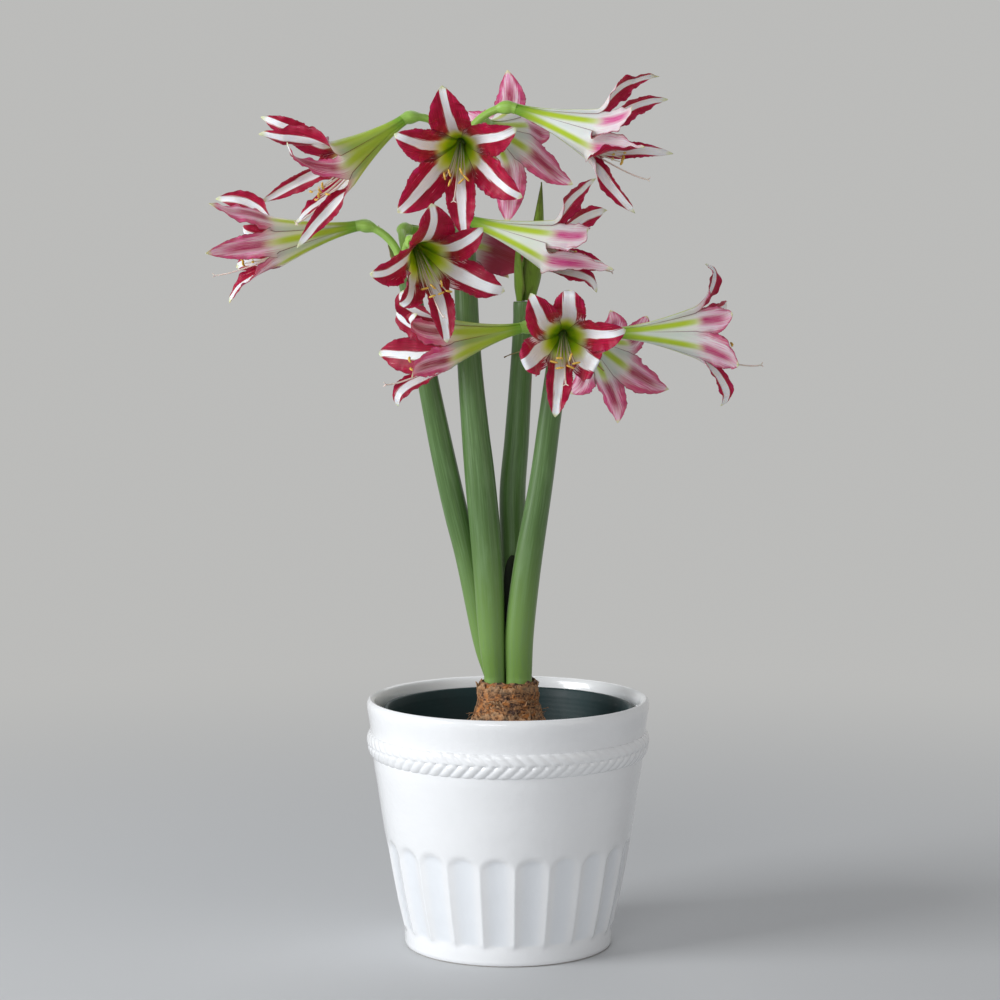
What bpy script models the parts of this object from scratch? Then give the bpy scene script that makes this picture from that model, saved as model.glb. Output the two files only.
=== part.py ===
"""Potted amaryllis: a fluted glazed cachepot holding a planted nursery pot.

One bulb carries four scapes. Three end in open umbels of four trumpet flowers,
the fourth ends in a spathe that has just split. Every leaf, stalk, flower,
bract, scale, pot and the soil is its own solid, standing clear of the next by SEAT.
Dimensions are in millimetres here and become metres when a mesh is made.
"""

import math

import bpy
import numpy as np

MM = 0.001
SEAT = 0.3

# Cachepot
POT_HEIGHT = 203.3
RIM_RADIUS = 115.0
FOOT_RADIUS = 84.6
FLOOR_TOP = 8.0
FLUTES = 22
FLUTE_TURN = 3.2
FLUTE_DEPTH = 2.6
FLUTE_FOOT, FLUTE_HEAD = 15.0, 91.0
ROPE_MIDDLE, ROPE_HALF, ROPE_PROUD = 166.5, 10.5, 3.6

# Nursery pot, soil and bulb
LINER_RIM = 196.2
LINER_WALL = 1.6
SOIL_TOP = 155.0
BULB_FOOT = 68.0
NECK_TOP = 218.5
NECK_RADIUS = 23.2
NECK_RECESS = 11.0
CROWN = 1.2

# Flower: a funnel that opens into six pointed tepals
TUBE_RADIUS = 4.6
MOUTH_RADIUS = 20.0
MOUTH_HEIGHT = 62.0
OUTER_TEPAL, INNER_TEPAL = 16.6, 14.2
TEPAL_THICK = 1.1
TUBE_FLOOR = 6.0
OVARY_LENGTH, OVARY_RADIUS = 15.0, 5.4
PEDICEL_RADIUS = 3.2

# Scapes: rows of (x, y, z, half width, half depth) from the bulb upward
SCAPES = {
    "scape_left": (
        (-12.4, 7.6, 221, 7.4, 6.6), (-20, 8, 250, 9, 8), (-33, 4, 316, 9.5, 9),
        (-43, 0, 358, 9.8, 9.2), (-53, -6, 404, 9.5, 9), (-64, -13, 460, 8.6, 8.4),
        (-74, -20, 515, 8.2, 8), (-82, -25, 556, 8.6, 8.4),
    ),
    "scape_tall": (
        (-11.0, -7.4, 221, 8.2, 6.8), (-13.5, -9.5, 255, 10.6, 9.5), (-16.5, -10, 315, 12.3, 11),
        (-22.5, -10, 381, 12.2, 11), (-27, -9, 427, 11, 10.4), (-31.5, -8, 483, 9.8, 9.6),
        (-35, -6, 560, 9.2, 9), (-39, -5, 648, 9, 8.8),
    ),
    "scape_back": (
        (5.5, 8, 221, 8.4, 6.6), (6, 12, 260, 9.6, 8.6), (4.5, 13, 323, 10.5, 9.6),
        (3.5, 13, 369, 10.6, 9.8), (7, 12, 415, 10, 9.4), (11, 10, 478, 8.9, 8.5),
        (13.8, 8, 524, 9.2, 8.4),
    ),
    "scape_right": (
        (8.6, -7.4, 221, 10.6, 6.8), (9.4, -10, 260, 11.6, 9.6), (15.8, -13, 315, 11.2, 9.8),
        (26.5, -17, 381, 9.6, 9.2), (34, -21, 438, 9, 8.8), (41, -25, 488, 8.8, 8.6),
    ),
}

# Flowers: foot of the funnel, azimuth and elevation of its axis, roll of the tepals, and for each
# tepal its tip as (angle round the axis, distance from it, height along it, final lean, twist,
# outward hook, cup, share of the usual width, and how far it runs on before it bends)
FLOWERS = {
    "upper_left": dict(
        scape="scape_tall", foot=(-84, -24, 669), azimuth=203, elevation=-33, roll=0, droop=0.75,
        tips=((70, 42, 98, 80, 0, 3, 0.7, 0.55, 0.9),
              (98, 49, 104, 20, -52, 7, -2.2, 0.8, 0.4),
              (114, 65, 91, 40, -50, 6, 1.6, 0.85, 0.3),
              (178, 46, 121, 15, 0, 2, 3.2, 0.6, 0.9),
              (245, 20, 117, 0, 0, 3, 1.4, 0.7, 0.8),
              (290, 35, 131, 20, 95, 2, 1.8, 0.55, 0.7)),
    ),
    "upper_front": dict(
        scape="scape_tall", foot=(-37, -47, 652), azimuth=-92, elevation=-10, roll=38,
        tips=((28, 53, 98, 85, 0, 2, 1, 1.05, 0.9),
              (99, 58, 98, 80, 0, 1, 1.1, 1, 0.9),
              (155, 50, 98, 85, 0, 2, 0.9, 1, 0.9),
              (222, 58, 98, 75, 8, 2, 1.2, 0.95, 0.9),
              (277, 57, 100, 75, 0, 2, 1.5, 0.9, 1),
              (331, 57, 98, 80, -8, 3, 1, 0.88, 0.9)),
    ),
    "upper_back": dict(
        scape="scape_tall", foot=(-17, 33, 668), azimuth=76, elevation=-8, roll=30,
        tips=((30, 52, 98, 75, 0, 2, 1, 0.9, 1),
              (82, 61, 98, 75, 0, 3, 1, 0.85, 0.9),
              (168, 33, 92, 110, 0, 3, 0.6, 0.85, 0.9),
              (217, 60, 98, 60, 25, 4, 1.2, 0.8, 0.9),
              (274, 67, 98, 70, 0, 2, 0.7, 1.1, 0.9),
              (330, 52, 98, 75, 0, 2, 1, 0.9, 1)),
    ),
    "upper_right": dict(
        scape="scape_tall", foot=(6, -8, 679), azimuth=-3, elevation=-18, roll=30, droop=0.8,
        tips=((50, 58, 113, 15, 20, 2, 2.2, 0.8, 0.8),
              (84, 51, 98, -15, 35, 9, 1.6, 0.85, 0.4),
              (148, 54, 90, 75, 0, 2, 0.8, 0.85, 0.8),
              (185, 36, 108, 20, 75, 4, -4, 0.9, 0.9),
              (268, 50, 116, 35, -110, 2, 4, 0.75, 0.6),
              (12, 20, 131, 10, 0, 3, 2, 0.5, 1.1)),
    ),
    "middle_left": dict(
        scape="scape_left", foot=(-121, -24, 586), azimuth=184, elevation=-11, roll=0, droop=0.65,
        tips=((3, 34, 121, 15, 0, 4, -1.5, 0.75, 1.1),
              (55, 39, 110, 0, 0, 7, 1, 0.85, 0.6),
              (105, 42, 105, -5, -60, 5, 1.6, 0.85, 0.4),
              (150, 30, 91, 60, 0, 2, 1.2, 0.9, 1),
              (215, 24, 101, 30, 10, 2, 1.4, 0.9, 1),
              (275, 37, 113, 35, 35, 4, 2, 0.8, 0.6)),
    ),
    "middle_front": dict(
        scape="scape_left", foot=(-74, -67, 573), azimuth=-76, elevation=-14, roll=44,
        tips=((48, 48, 92, 80, 12, 3, 1.6, 0.9, 0.9),
              (97, 54, 92, 85, -12, 3, 1.2, 1.2, 0.9),
              (180, 52, 92, 80, 4, 2, 1.3, 1.1, 0.9),
              (222, 38, 92, 100, 0, 3, 2.5, 0.75, 0.9),
              (280, 54, 94, 75, 0, 2, 2.2, 0.8, 1),
              (344, 54, 92, 75, -12, 3, -1.5, 0.85, 0.9)),
    ),
    "middle_back": dict(
        scape="scape_left", foot=(-80, 14, 583), azimuth=44, elevation=-13, roll=0, droop=0.3,
        tips=((5, 42, 104, 60, 0, 2, 1, 0.9, 1),
              (65, 26, 112, 40, 0, 3, 1.3, 0.8, 1),
              (125, 26, 112, 30, 0, 2, 1.3, 0.9, 1),
              (188, 38, 104, 55, 10, 2, 0.9, 1.1, 1),
              (235, 18, 108, 20, 0, 3, 1.2, 0.8, 1),
              (303, 24, 108, 30, 0, 2, 1.2, 0.8, 1)),
    ),
    "middle_right": dict(
        scape="scape_left", foot=(-29, -45, 590), azimuth=-8, elevation=-17, roll=30, droop=0.2,
        tips=((45, 53, 97, 20, 15, 2, 1.6, 1, 0.8),
              (78, 56, 85, 20, 40, 7, 1.8, 0.75, 0.4),
              (150, 44, 96, 75, 0, 2, 0.8, 0.9, 0.9),
              (195, 16, 120, 0, 60, 2, -3, 0.65, 0.7),
              (268, 22, 113, 45, -60, 5, 1.4, 0.6, 0.6),
              (350, 25, 112, 10, 0, 2, 1.6, 0.7, 1)),
    ),
    "lower_left": dict(
        scape="scape_right", foot=(9, -50, 506), azimuth=202, elevation=-10, roll=30, droop=0.85,
        tips=((40, 50, 100, 110, 0, 4, 1, 0.85, 0.9),
              (95, 48, 92, 100, -40, 4, 1.4, 0.8, 0.9),
              (148, 56, 84, 90, 0, 2, 1.4, 0.85, 0.9),
              (184, 58, 101, 55, 0, 2, 1.3, 0.95, 0.8),
              (262, 42, 112, 80, 40, 5, 1.6, 0.7, 0.9),
              (330, 30, 108, 35, 0, 3, 0.8, 0.8, 0.9)),
    ),
    "lower_front": dict(
        scape="scape_right", foot=(43, -67, 502), azimuth=-90, elevation=-3, roll=20,
        tips=((14, 47, 92, 85, -10, 3, 1.5, 1, 0.9),
              (86, 44, 86, 130, 0, 3, 0.5, 0.8, 0.9),
              (124, 47, 92, 75, 10, 2, 1.3, 1, 0.9),
              (205, 38, 88, 120, 0, 4, -1, 0.9, 0.9),
              (262, 54, 94, 75, 0, 2, 1.8, 0.8, 0.9),
              (327, 32, 86, 140, 0, 5, -1.5, 0.95, 0.9)),
    ),
    "lower_back": dict(
        scape="scape_right", foot=(62, 12, 497), azimuth=72, elevation=-16, roll=30,
        tips=((28, 46, 98, 80, 0, 2, 1, 0.9, 1),
              (82, 46, 96, 100, 15, 3, 1, 0.8, 0.9),
              (122, 48, 92, 110, -20, 3, 1.2, 0.8, 0.9),
              (207, 51, 98, 60, 35, 3, 0.7, 0.9, 0.9),
              (263, 51, 98, 70, -12, 2, 1.2, 0.9, 0.9),
              (325, 46, 98, 75, 0, 2, 1, 0.9, 1)),
    ),
    "lower_right": dict(
        scape="scape_right", foot=(85, -22, 501), azimuth=3, elevation=0, roll=30,
        tips=((30, 45, 96, 60, 0, 2, 1.2, 0.9, 1),
              (90, 57, 77, 115, 30, 4, 1.2, 0.75, 0.9),
              (150, 32, 92, 45, 0, 2, 1, 0.95, 0.9),
              (210, 47, 96, 50, 0, 2, 1, 0.95, 0.9),
              (270, 60, 88, 115, -60, 4, 1.4, 0.6, 0.9),
              (330, 45, 100, 60, 0, 2, 1, 0.9, 1)),
    ),
}


def unit(v):
    return v / np.linalg.norm(v, axis=-1, keepdims=True)


def turned(angle):
    a = math.radians(angle)
    return np.array([math.cos(a), math.sin(a), 0.0])


def ease(s):
    """0 below s = 0, 1 above s = 1, and smooth between them."""
    s = np.clip(s, 0, 1)
    return s * s * (3 - 2 * s)


def make(name, points, faces, colour, roughness=0.5, metallic=0.0):
    """One closed mesh object in metres, with its own Principled material."""
    mesh = bpy.data.meshes.new(name)
    mesh.from_pydata((np.asarray(points, float) * MM).tolist(), [], faces)
    mesh.shade_smooth()
    mesh.set_sharp_from_angle(angle=math.radians(40))
    material = bpy.data.materials.new(name)
    material.use_nodes = True
    shader = material.node_tree.nodes["Principled BSDF"]
    shader.inputs["Base Color"].default_value = (*colour, 1.0)
    shader.inputs["Roughness"].default_value = roughness
    shader.inputs["Metallic"].default_value = metallic
    mesh.materials.append(material)
    obj = bpy.data.objects.new(name, mesh)
    bpy.context.scene.collection.objects.link(obj)
    return obj


def revolve(profile, segments, shape=None, first=0.0):
    """Points and faces of a profile (r, z) turned round Z, listed with the solid on its left.

    A profile that starts and ends at r = 0 closes on the axis; any other is a closed loop.
    shape(r, z, angle) may change r and z, which come as one row for each profile point.
    """
    r, z = np.array(profile, float).T
    on_axis = r[0] == 0
    if on_axis:
        foot, head = z[0], z[-1]
        r, z = r[1:-1], z[1:-1]
    angle = math.radians(first) + np.arange(segments) * 2 * math.pi / segments
    rr, zz = np.repeat(r[:, None], segments, 1), np.repeat(z[:, None], segments, 1)
    if shape:
        rr, zz = shape(rr, zz, angle[None, :])
    points = np.stack([rr * np.cos(angle), rr * np.sin(angle), zz], -1).reshape(-1, 3)
    rows = len(r)
    last = rows - 1 if on_axis else rows
    faces = []
    for i in range(last):
        j = (i + 1) % rows
        for c in range(segments):
            d = (c + 1) % segments
            faces.append((i * segments + c, i * segments + d, j * segments + d, j * segments + c))
    if on_axis:
        low, high = len(points), len(points) + 1
        points = np.vstack([points, (0, 0, foot), (0, 0, head)])
        top = (rows - 1) * segments
        for c in range(segments):
            d = (c + 1) % segments
            faces += [(low, d, c), (high, top + c, top + d)]
    return points, faces


def sweep(path, across, widths, depths, sides):
    """A closed tube along path: an ellipse of half width along `across` and half depth beyond it."""
    path = np.array(path, float)
    tangent = unit(np.gradient(path, axis=0))
    side = unit(across - np.sum(across * tangent, 1, keepdims=True) * tangent)
    other = np.cross(tangent, side)
    angle = np.arange(sides) * 2 * math.pi / sides
    points = (path[:, None] + np.cos(angle)[None, :, None] * (side * np.reshape(widths, (-1, 1)))[:, None]
              + np.sin(angle)[None, :, None] * (other * np.reshape(depths, (-1, 1)))[:, None])
    faces = [
        (i * sides + c, i * sides + (c + 1) % sides, (i + 1) * sides + (c + 1) % sides, (i + 1) * sides + c)
        for i in range(len(path) - 1)
        for c in range(sides)
    ]
    faces += [tuple(range(sides))[::-1], tuple(range((len(path) - 1) * sides, len(path) * sides))]
    return points.reshape(-1, 3), faces


def smooth_path(rows, count):
    """Catmull-Rom curve through rows of numbers, sampled at count steps."""
    rows = np.array(rows, float)
    ends = np.vstack([2 * rows[0] - rows[1], rows, 2 * rows[-1] - rows[-2]])
    at = np.linspace(0, len(rows) - 1, count)
    i = np.minimum(at.astype(int), len(rows) - 2)
    t = (at - i)[:, None]
    a, b, c, d = ends[i], ends[i + 1], ends[i + 2], ends[i + 3]
    return 0.5 * (2 * b + (c - a) * t + (2 * a - 5 * b + 4 * c - d) * t**2 + (3 * b - a - 3 * c + d) * t**3)


def hermite(start, start_dir, end, end_dir, t):
    t = np.asarray(t, float)[:, None]
    return ((2 * t**3 - 3 * t**2 + 1) * start + (t**3 - 2 * t**2 + t) * start_dir
            + (3 * t**2 - 2 * t**3) * end + (t**3 - t**2) * end_dir)


def build_cachepot():
    rope = [
        (111.2 + 1.3 * s + ROPE_PROUD * math.sqrt(1 - s * s), ROPE_MIDDLE + ROPE_HALF * s)
        for s in (-1, -0.6, 0, 0.6, 1)
    ]
    outside = [
        (0, 0), (FOOT_RADIUS - 2, 0), (FOOT_RADIUS, 1.5), (FOOT_RADIUS, 11.5), (84.2, 14.5),
        (86.4, 18), (91.4, 40), (95.6, 62), (98.6, 80), (100.4, 91), (106.2, 130), *rope,
        (113.2, 186), (RIM_RADIUS, 196), (114.6, 201), (112.0, POT_HEIGHT),
    ]
    inside = [
        (109.0, 202.2), (107.6, 196), (105.5, 184), (101, 150), (92, 90), (80, 22),
        (77, FLOOR_TOP + 2), (74, FLOOR_TOP), (0, FLOOR_TOP),
    ]
    outer_rows = np.arange(len(outside) + len(inside) - 2)[:, None] < len(outside) - 1

    def flutes(r, z, angle):
        """Scallops between sharp ridges, round at the head, pressed into the outer wall only."""
        turn = (angle - math.radians(FLUTE_TURN - 90)) * FLUTES / (2 * math.pi)
        across = 2 * np.abs(turn - np.floor(turn + 0.5))
        head = FLUTE_HEAD - 10 * (1 - across)
        rise = np.clip((head - z) / 6, 0, 1) * np.clip((z - FLUTE_FOOT) / 3, 0, 1)
        return np.where(outer_rows, r - FLUTE_DEPTH * (2 * across - across**2) * rise, r), z

    points, faces = revolve(outside + inside, FLUTES * 3, flutes, FLUTE_TURN - 90)
    make("cachepot", points, faces, (0.86, 0.87, 0.88), 0.16)


def liner_inner(z):
    """Inner radius of the nursery pot at height z."""
    return 70.0 + (z - 10.0) * 0.148


def build_nursery_pot():
    foot = FLOOR_TOP + SEAT
    profile = [
        (18, foot), (72.2 - 1.5, foot), (72.2, foot + 1.5),
        (liner_inner(184) + LINER_WALL, 184), (100.3, 186), (101, 190), (101, LINER_RIM - 0.8),
        (100.2, LINER_RIM), (98.6, LINER_RIM), (97.6, LINER_RIM - 1.2),
        (liner_inner(188), 188), (liner_inner(foot + 4), foot + 4), (68.6, foot + 2.2), (18, foot + 2.2),
    ]
    points, faces = revolve(profile, 36)
    pot = make("nursery_pot", points, faces, (0.012, 0.035, 0.035), 0.55)
    for i in range(6):
        hole, sides = revolve([(0, foot - 3), (6, foot - 3), (6, foot + 6), (0, foot + 6)], 8)
        hole = hole + 46 * turned(60 * i + 3.75)
        cutter = make(f"drain_{i}", hole, sides, (0, 0, 0))
        cutter.hide_render = True
        cutter.display_type = "WIRE"
        cut = pot.modifiers.new(f"drain_{i}", "BOOLEAN")
        cut.operation = "DIFFERENCE"
        cut.solver = "EXACT"
        cut.object = cutter


BULB_PROFILE = [
    (0, BULB_FOOT), (16, BULB_FOOT), (24, BULB_FOOT + 5), (44, BULB_FOOT + 14), (55, BULB_FOOT + 28),
    (58, BULB_FOOT + 42), (55, BULB_FOOT + 60), (46, BULB_FOOT + 78), (36, BULB_FOOT + 96),
    (29.5, BULB_FOOT + 112), (26, BULB_FOOT + 121), (23.5, BULB_FOOT + 130), (NECK_RADIUS, NECK_TOP - 1),
    (NECK_RADIUS - 0.3, NECK_TOP),
]


def bulb_radius(z):
    r, h = np.array(BULB_PROFILE[1:]).T
    return np.interp(z, h, r)


def build_bulb():
    recess = NECK_TOP - NECK_RECESS
    profile = BULB_PROFILE + [(NECK_RADIUS - 1, NECK_TOP), (NECK_RADIUS - 1.2, recess), (0, recess)]
    points, faces = revolve(profile, 24)
    make("bulb", points, faces, (0.42, 0.27, 0.13), 0.7)


def build_tunics():
    """Two papery sleeves of old scale round the neck, each with a torn upper edge."""
    rng = np.random.default_rng(5)
    sleeves = (("tunic_inner", 172, 216.5, SEAT, 6), ("tunic_outer", 160, 198, 2.0, 9))
    for name, low, high, gap, tear in sleeves:
        heights = [low] + [z for _, z in BULB_PROFILE if low < z < high - tear] + [high]
        outer = [(bulb_radius(z) + gap + 1.1, z) for z in heights]
        inner = [(bulb_radius(z) + gap, z) for z in heights[::-1]]
        ragged = rng.uniform(-1, 0, 24) * tear

        def torn(r, z, angle):
            lower = np.where(z == high, z + ragged[None, :], z)
            return r - bulb_radius(z) + bulb_radius(lower), lower

        points, faces = revolve(outer + inner, 24, torn)
        make(name, points, faces, (0.36, 0.2, 0.09), 0.75)


def build_soil():
    foot = FLOOR_TOP + SEAT + 2.2 + SEAT
    rng = np.random.default_rng(11)
    bumps = rng.uniform(-1.2, 1.2, 36)

    def uneven(r, z, angle):
        near_top = np.clip((z - SOIL_TOP + 4) / 4, 0, 1) * ((r > 52) & (r < 90))
        return r, z + near_top * bumps[None, :]

    room = SEAT + 0.2
    cavity = [(BULB_PROFILE[1][0] + room, BULB_FOOT - SEAT)] + [(r + room, z) for r, z in BULB_PROFILE[2:8]]
    edge = SOIL_TOP - 1.0
    shoulder = bulb_radius(SOIL_TOP + 1.5) + room
    profile = (
        [(0, foot), (66.6, foot), (liner_inner(foot + 4) - SEAT, foot + 4.5)]
        + [(liner_inner(edge) - SEAT, edge), (84, SOIL_TOP), (68, SOIL_TOP + 1), (54, SOIL_TOP + 1)]
        + [(shoulder, SOIL_TOP + 1.5)]
        + [(r, z) for r, z in cavity[::-1] if BULB_FOOT < z < SOIL_TOP]
        + [cavity[0], (0, BULB_FOOT - SEAT)]
    )
    points, faces = revolve(profile, 36, uneven)
    make("potting_soil", points, faces, (0.035, 0.022, 0.014), 0.95)


def build_scapes():
    for name, rows in SCAPES.items():
        x, y, z, width, depth = smooth_path(rows, 12).T
        path = np.stack([x, y, z], 1)
        foot = (*path[0, :2], NECK_TOP - NECK_RECESS + SEAT)
        path = np.vstack([foot, path, path[-1] + (0, 0, CROWN)])
        width, depth = np.r_[width[0], width, width[-1]], np.r_[depth[0], depth, depth[-1]]
        points, faces = sweep(path, np.array([1.0, 0, 0]), width, depth, 10)
        make(name, points, faces, (0.16, 0.33, 0.13), 0.45)


def build_leaf():
    """The short new leaf between the scapes: a flat strap with a rounded tip."""
    path = smooth_path([(-1.4, 0.3, 208), (-1, 0.2, 250), (2, -0.4, 300), (3.6, -1.4, 320)], 9)
    share = np.linspace(0, 1, 9)
    width = 5.6 * np.sqrt(np.clip(1.04 - share**6, 0, 1))
    points, faces = sweep(path, np.array([1.0, 0.1, 0]), width, 0.5 + 0.4 * (1 - share), 8)
    make("young_leaf", points, faces, (0.04, 0.11, 0.03), 0.45)


def boat(start, end, bow, width, facing, rows=7, thick=1.3, hollow=0.45):
    """A pointed, channelled blade such as a spathe valve, its channel open towards `facing`."""
    t = np.linspace(0, 1, rows)
    path = np.array(start) + t[:, None] * (np.array(end) - start)
    path = path - np.sin(t * math.pi)[:, None] * bow * facing
    tangent = unit(np.gradient(path, axis=0))
    side = unit(np.cross(facing, tangent))
    out = np.cross(side, tangent)
    out = out * np.sign(-(out @ facing))[:, None]
    half = (width * (0.5 + 0.5 * ease(t / 0.22)) * (1 - t**1.8) + 0.5)[:, None, None]
    across = np.array([-1.0, 0.0, 1.0])[None, :, None]
    skin = path[:, None] + side[:, None] * across * half - out[:, None] * hollow * half * across**2
    normal = unit(out[:, None] + 2 * hollow * across * side[:, None])
    inside = skin - normal * thick * (0.45 + 0.55 * (1 - across**2))
    return close_sheet(skin, inside, np.cross(tangent[0], side[0]) @ out[0] > 0)


def close_sheet(front, back, flip):
    """Points and faces of a grid sheet given its two skins, walled all round."""
    rows, cols = front.shape[:2]
    points = np.vstack([front.reshape(-1, 3), back.reshape(-1, 3)])
    half = rows * cols
    faces = []
    for i in range(rows - 1):
        for j in range(cols - 1):
            a, b, c, d = i * cols + j, i * cols + j + 1, (i + 1) * cols + j + 1, (i + 1) * cols + j
            faces += [(a, b, c, d), (half + d, half + c, half + b, half + a)]
    ring = ([(0, j) for j in range(cols)] + [(i, cols - 1) for i in range(1, rows)]
            + [(rows - 1, j) for j in range(cols - 2, -1, -1)] + [(i, 0) for i in range(rows - 2, 0, -1)])
    ring = [i * cols + j for i, j in ring]
    for a, b in zip(ring, ring[1:] + ring[:1]):
        faces.append((b, a, half + a, half + b))
    if flip:
        faces = [face[::-1] for face in faces]
    return points, faces


def build_spathes():
    """The split spathe of the fourth scape, the bud in it, and the withered bracts under each umbel."""
    top = np.array(SCAPES["scape_back"][-1][:3]) + (0, 0, CROWN)
    facing = unit(np.array([0.75, 0.66, 0]))
    points, faces = boat(top + (-6.2, -4.4, SEAT), (8, -1, 580), 2, 6.4, facing, hollow=0.5)
    make("spathe_valve_left", points, faces, (0.2, 0.42, 0.08), 0.45)
    facing = unit(np.array([-0.6, 0.8, 0]))
    points, faces = boat(top + (5.6, 0, SEAT), (27, 4, 621), 3, 9.5, facing, hollow=0.5)
    make("spathe_valve_right", points, faces, (0.16, 0.3, 0.07), 0.45)
    path = smooth_path([top + (x, 3.5, z) for x, z in ((-1.5, SEAT), (-1.5, 12), (-1, 26), (-0.5, 38))], 8)
    girth = np.array([1.6, 1.8, 2.6, 3.2, 3.2, 2.6, 1.6, 0.5])
    points, faces = sweep(path, np.array([1.0, 0, 0]), girth, girth * 0.8, 8)
    make("spathe_bud", points, faces, (0.25, 0.4, 0.12), 0.5)
    bracts = (
        ("bract_upper_left", "scape_tall", 144, 34, -2, 4.5, (0.35, 0.36, 0.14)),
        ("bract_upper_right", "scape_tall", -36, 30, -10, 4.5, (0.35, 0.36, 0.14)),
        ("bract_middle_left", "scape_left", 146, 18, 30, 2.5, (0.4, 0.48, 0.14)),
        ("bract_middle_right", "scape_left", -36, 30, -14, 4.5, (0.36, 0.4, 0.14)),
        ("bract_lower_left", "scape_right", 144, 46, -8, 3.0, (0.4, 0.26, 0.12)),
        ("bract_lower_right", "scape_right", -36, 34, -16, 4.0, (0.36, 0.32, 0.12)),
    )
    for name, scape, angle, reach, rise, width, colour in bracts:
        x, y, z, w, d = SCAPES[scape][-1]
        out = turned(angle)
        side = 1 / math.hypot(out[0] / w, out[1] / d)
        start = np.array([x, y, z - 1]) + out * (side + max(0.7, rise / 25))
        end = np.array([x, y, z]) + out * (side + reach) + (0, 0, rise)
        points, faces = boat(start, end, -3, width, unit(np.array([0, 0, 1.0]) - 0.3 * out), 6, 0.9, 0.3)
        make(name, points, faces, colour, 0.7)


# Where on the top of its scape each flower stalk stands
SLOTS = {"left": 180, "front": -90, "right": 0, "back": 90}


def flower_axes(flower):
    """Columns: to the right of someone facing the flower, upward, and out along its axis."""
    az, el = math.radians(flower["azimuth"]), math.radians(flower["elevation"])
    axis = np.array([math.cos(el) * math.cos(az), math.cos(el) * math.sin(az), math.sin(el)])
    up = unit(np.array([0, 0, 1.0]) - axis[2] * axis)
    return np.stack([np.cross(up, axis), up, axis], 1)


TUBE_ROWS = (0.0, 20.0, 42.0)
BLADE_ROWS = np.array([0.18, 0.38, 0.6, 0.82, 1.0])
BLADE_WIDTH = np.array([0.82, 1.0, 0.94, 0.58, 0.06])


def tube_radius(z):
    return TUBE_RADIUS + (MOUTH_RADIUS - TUBE_RADIUS) * (z / MOUTH_HEIGHT) ** 1.5


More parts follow.
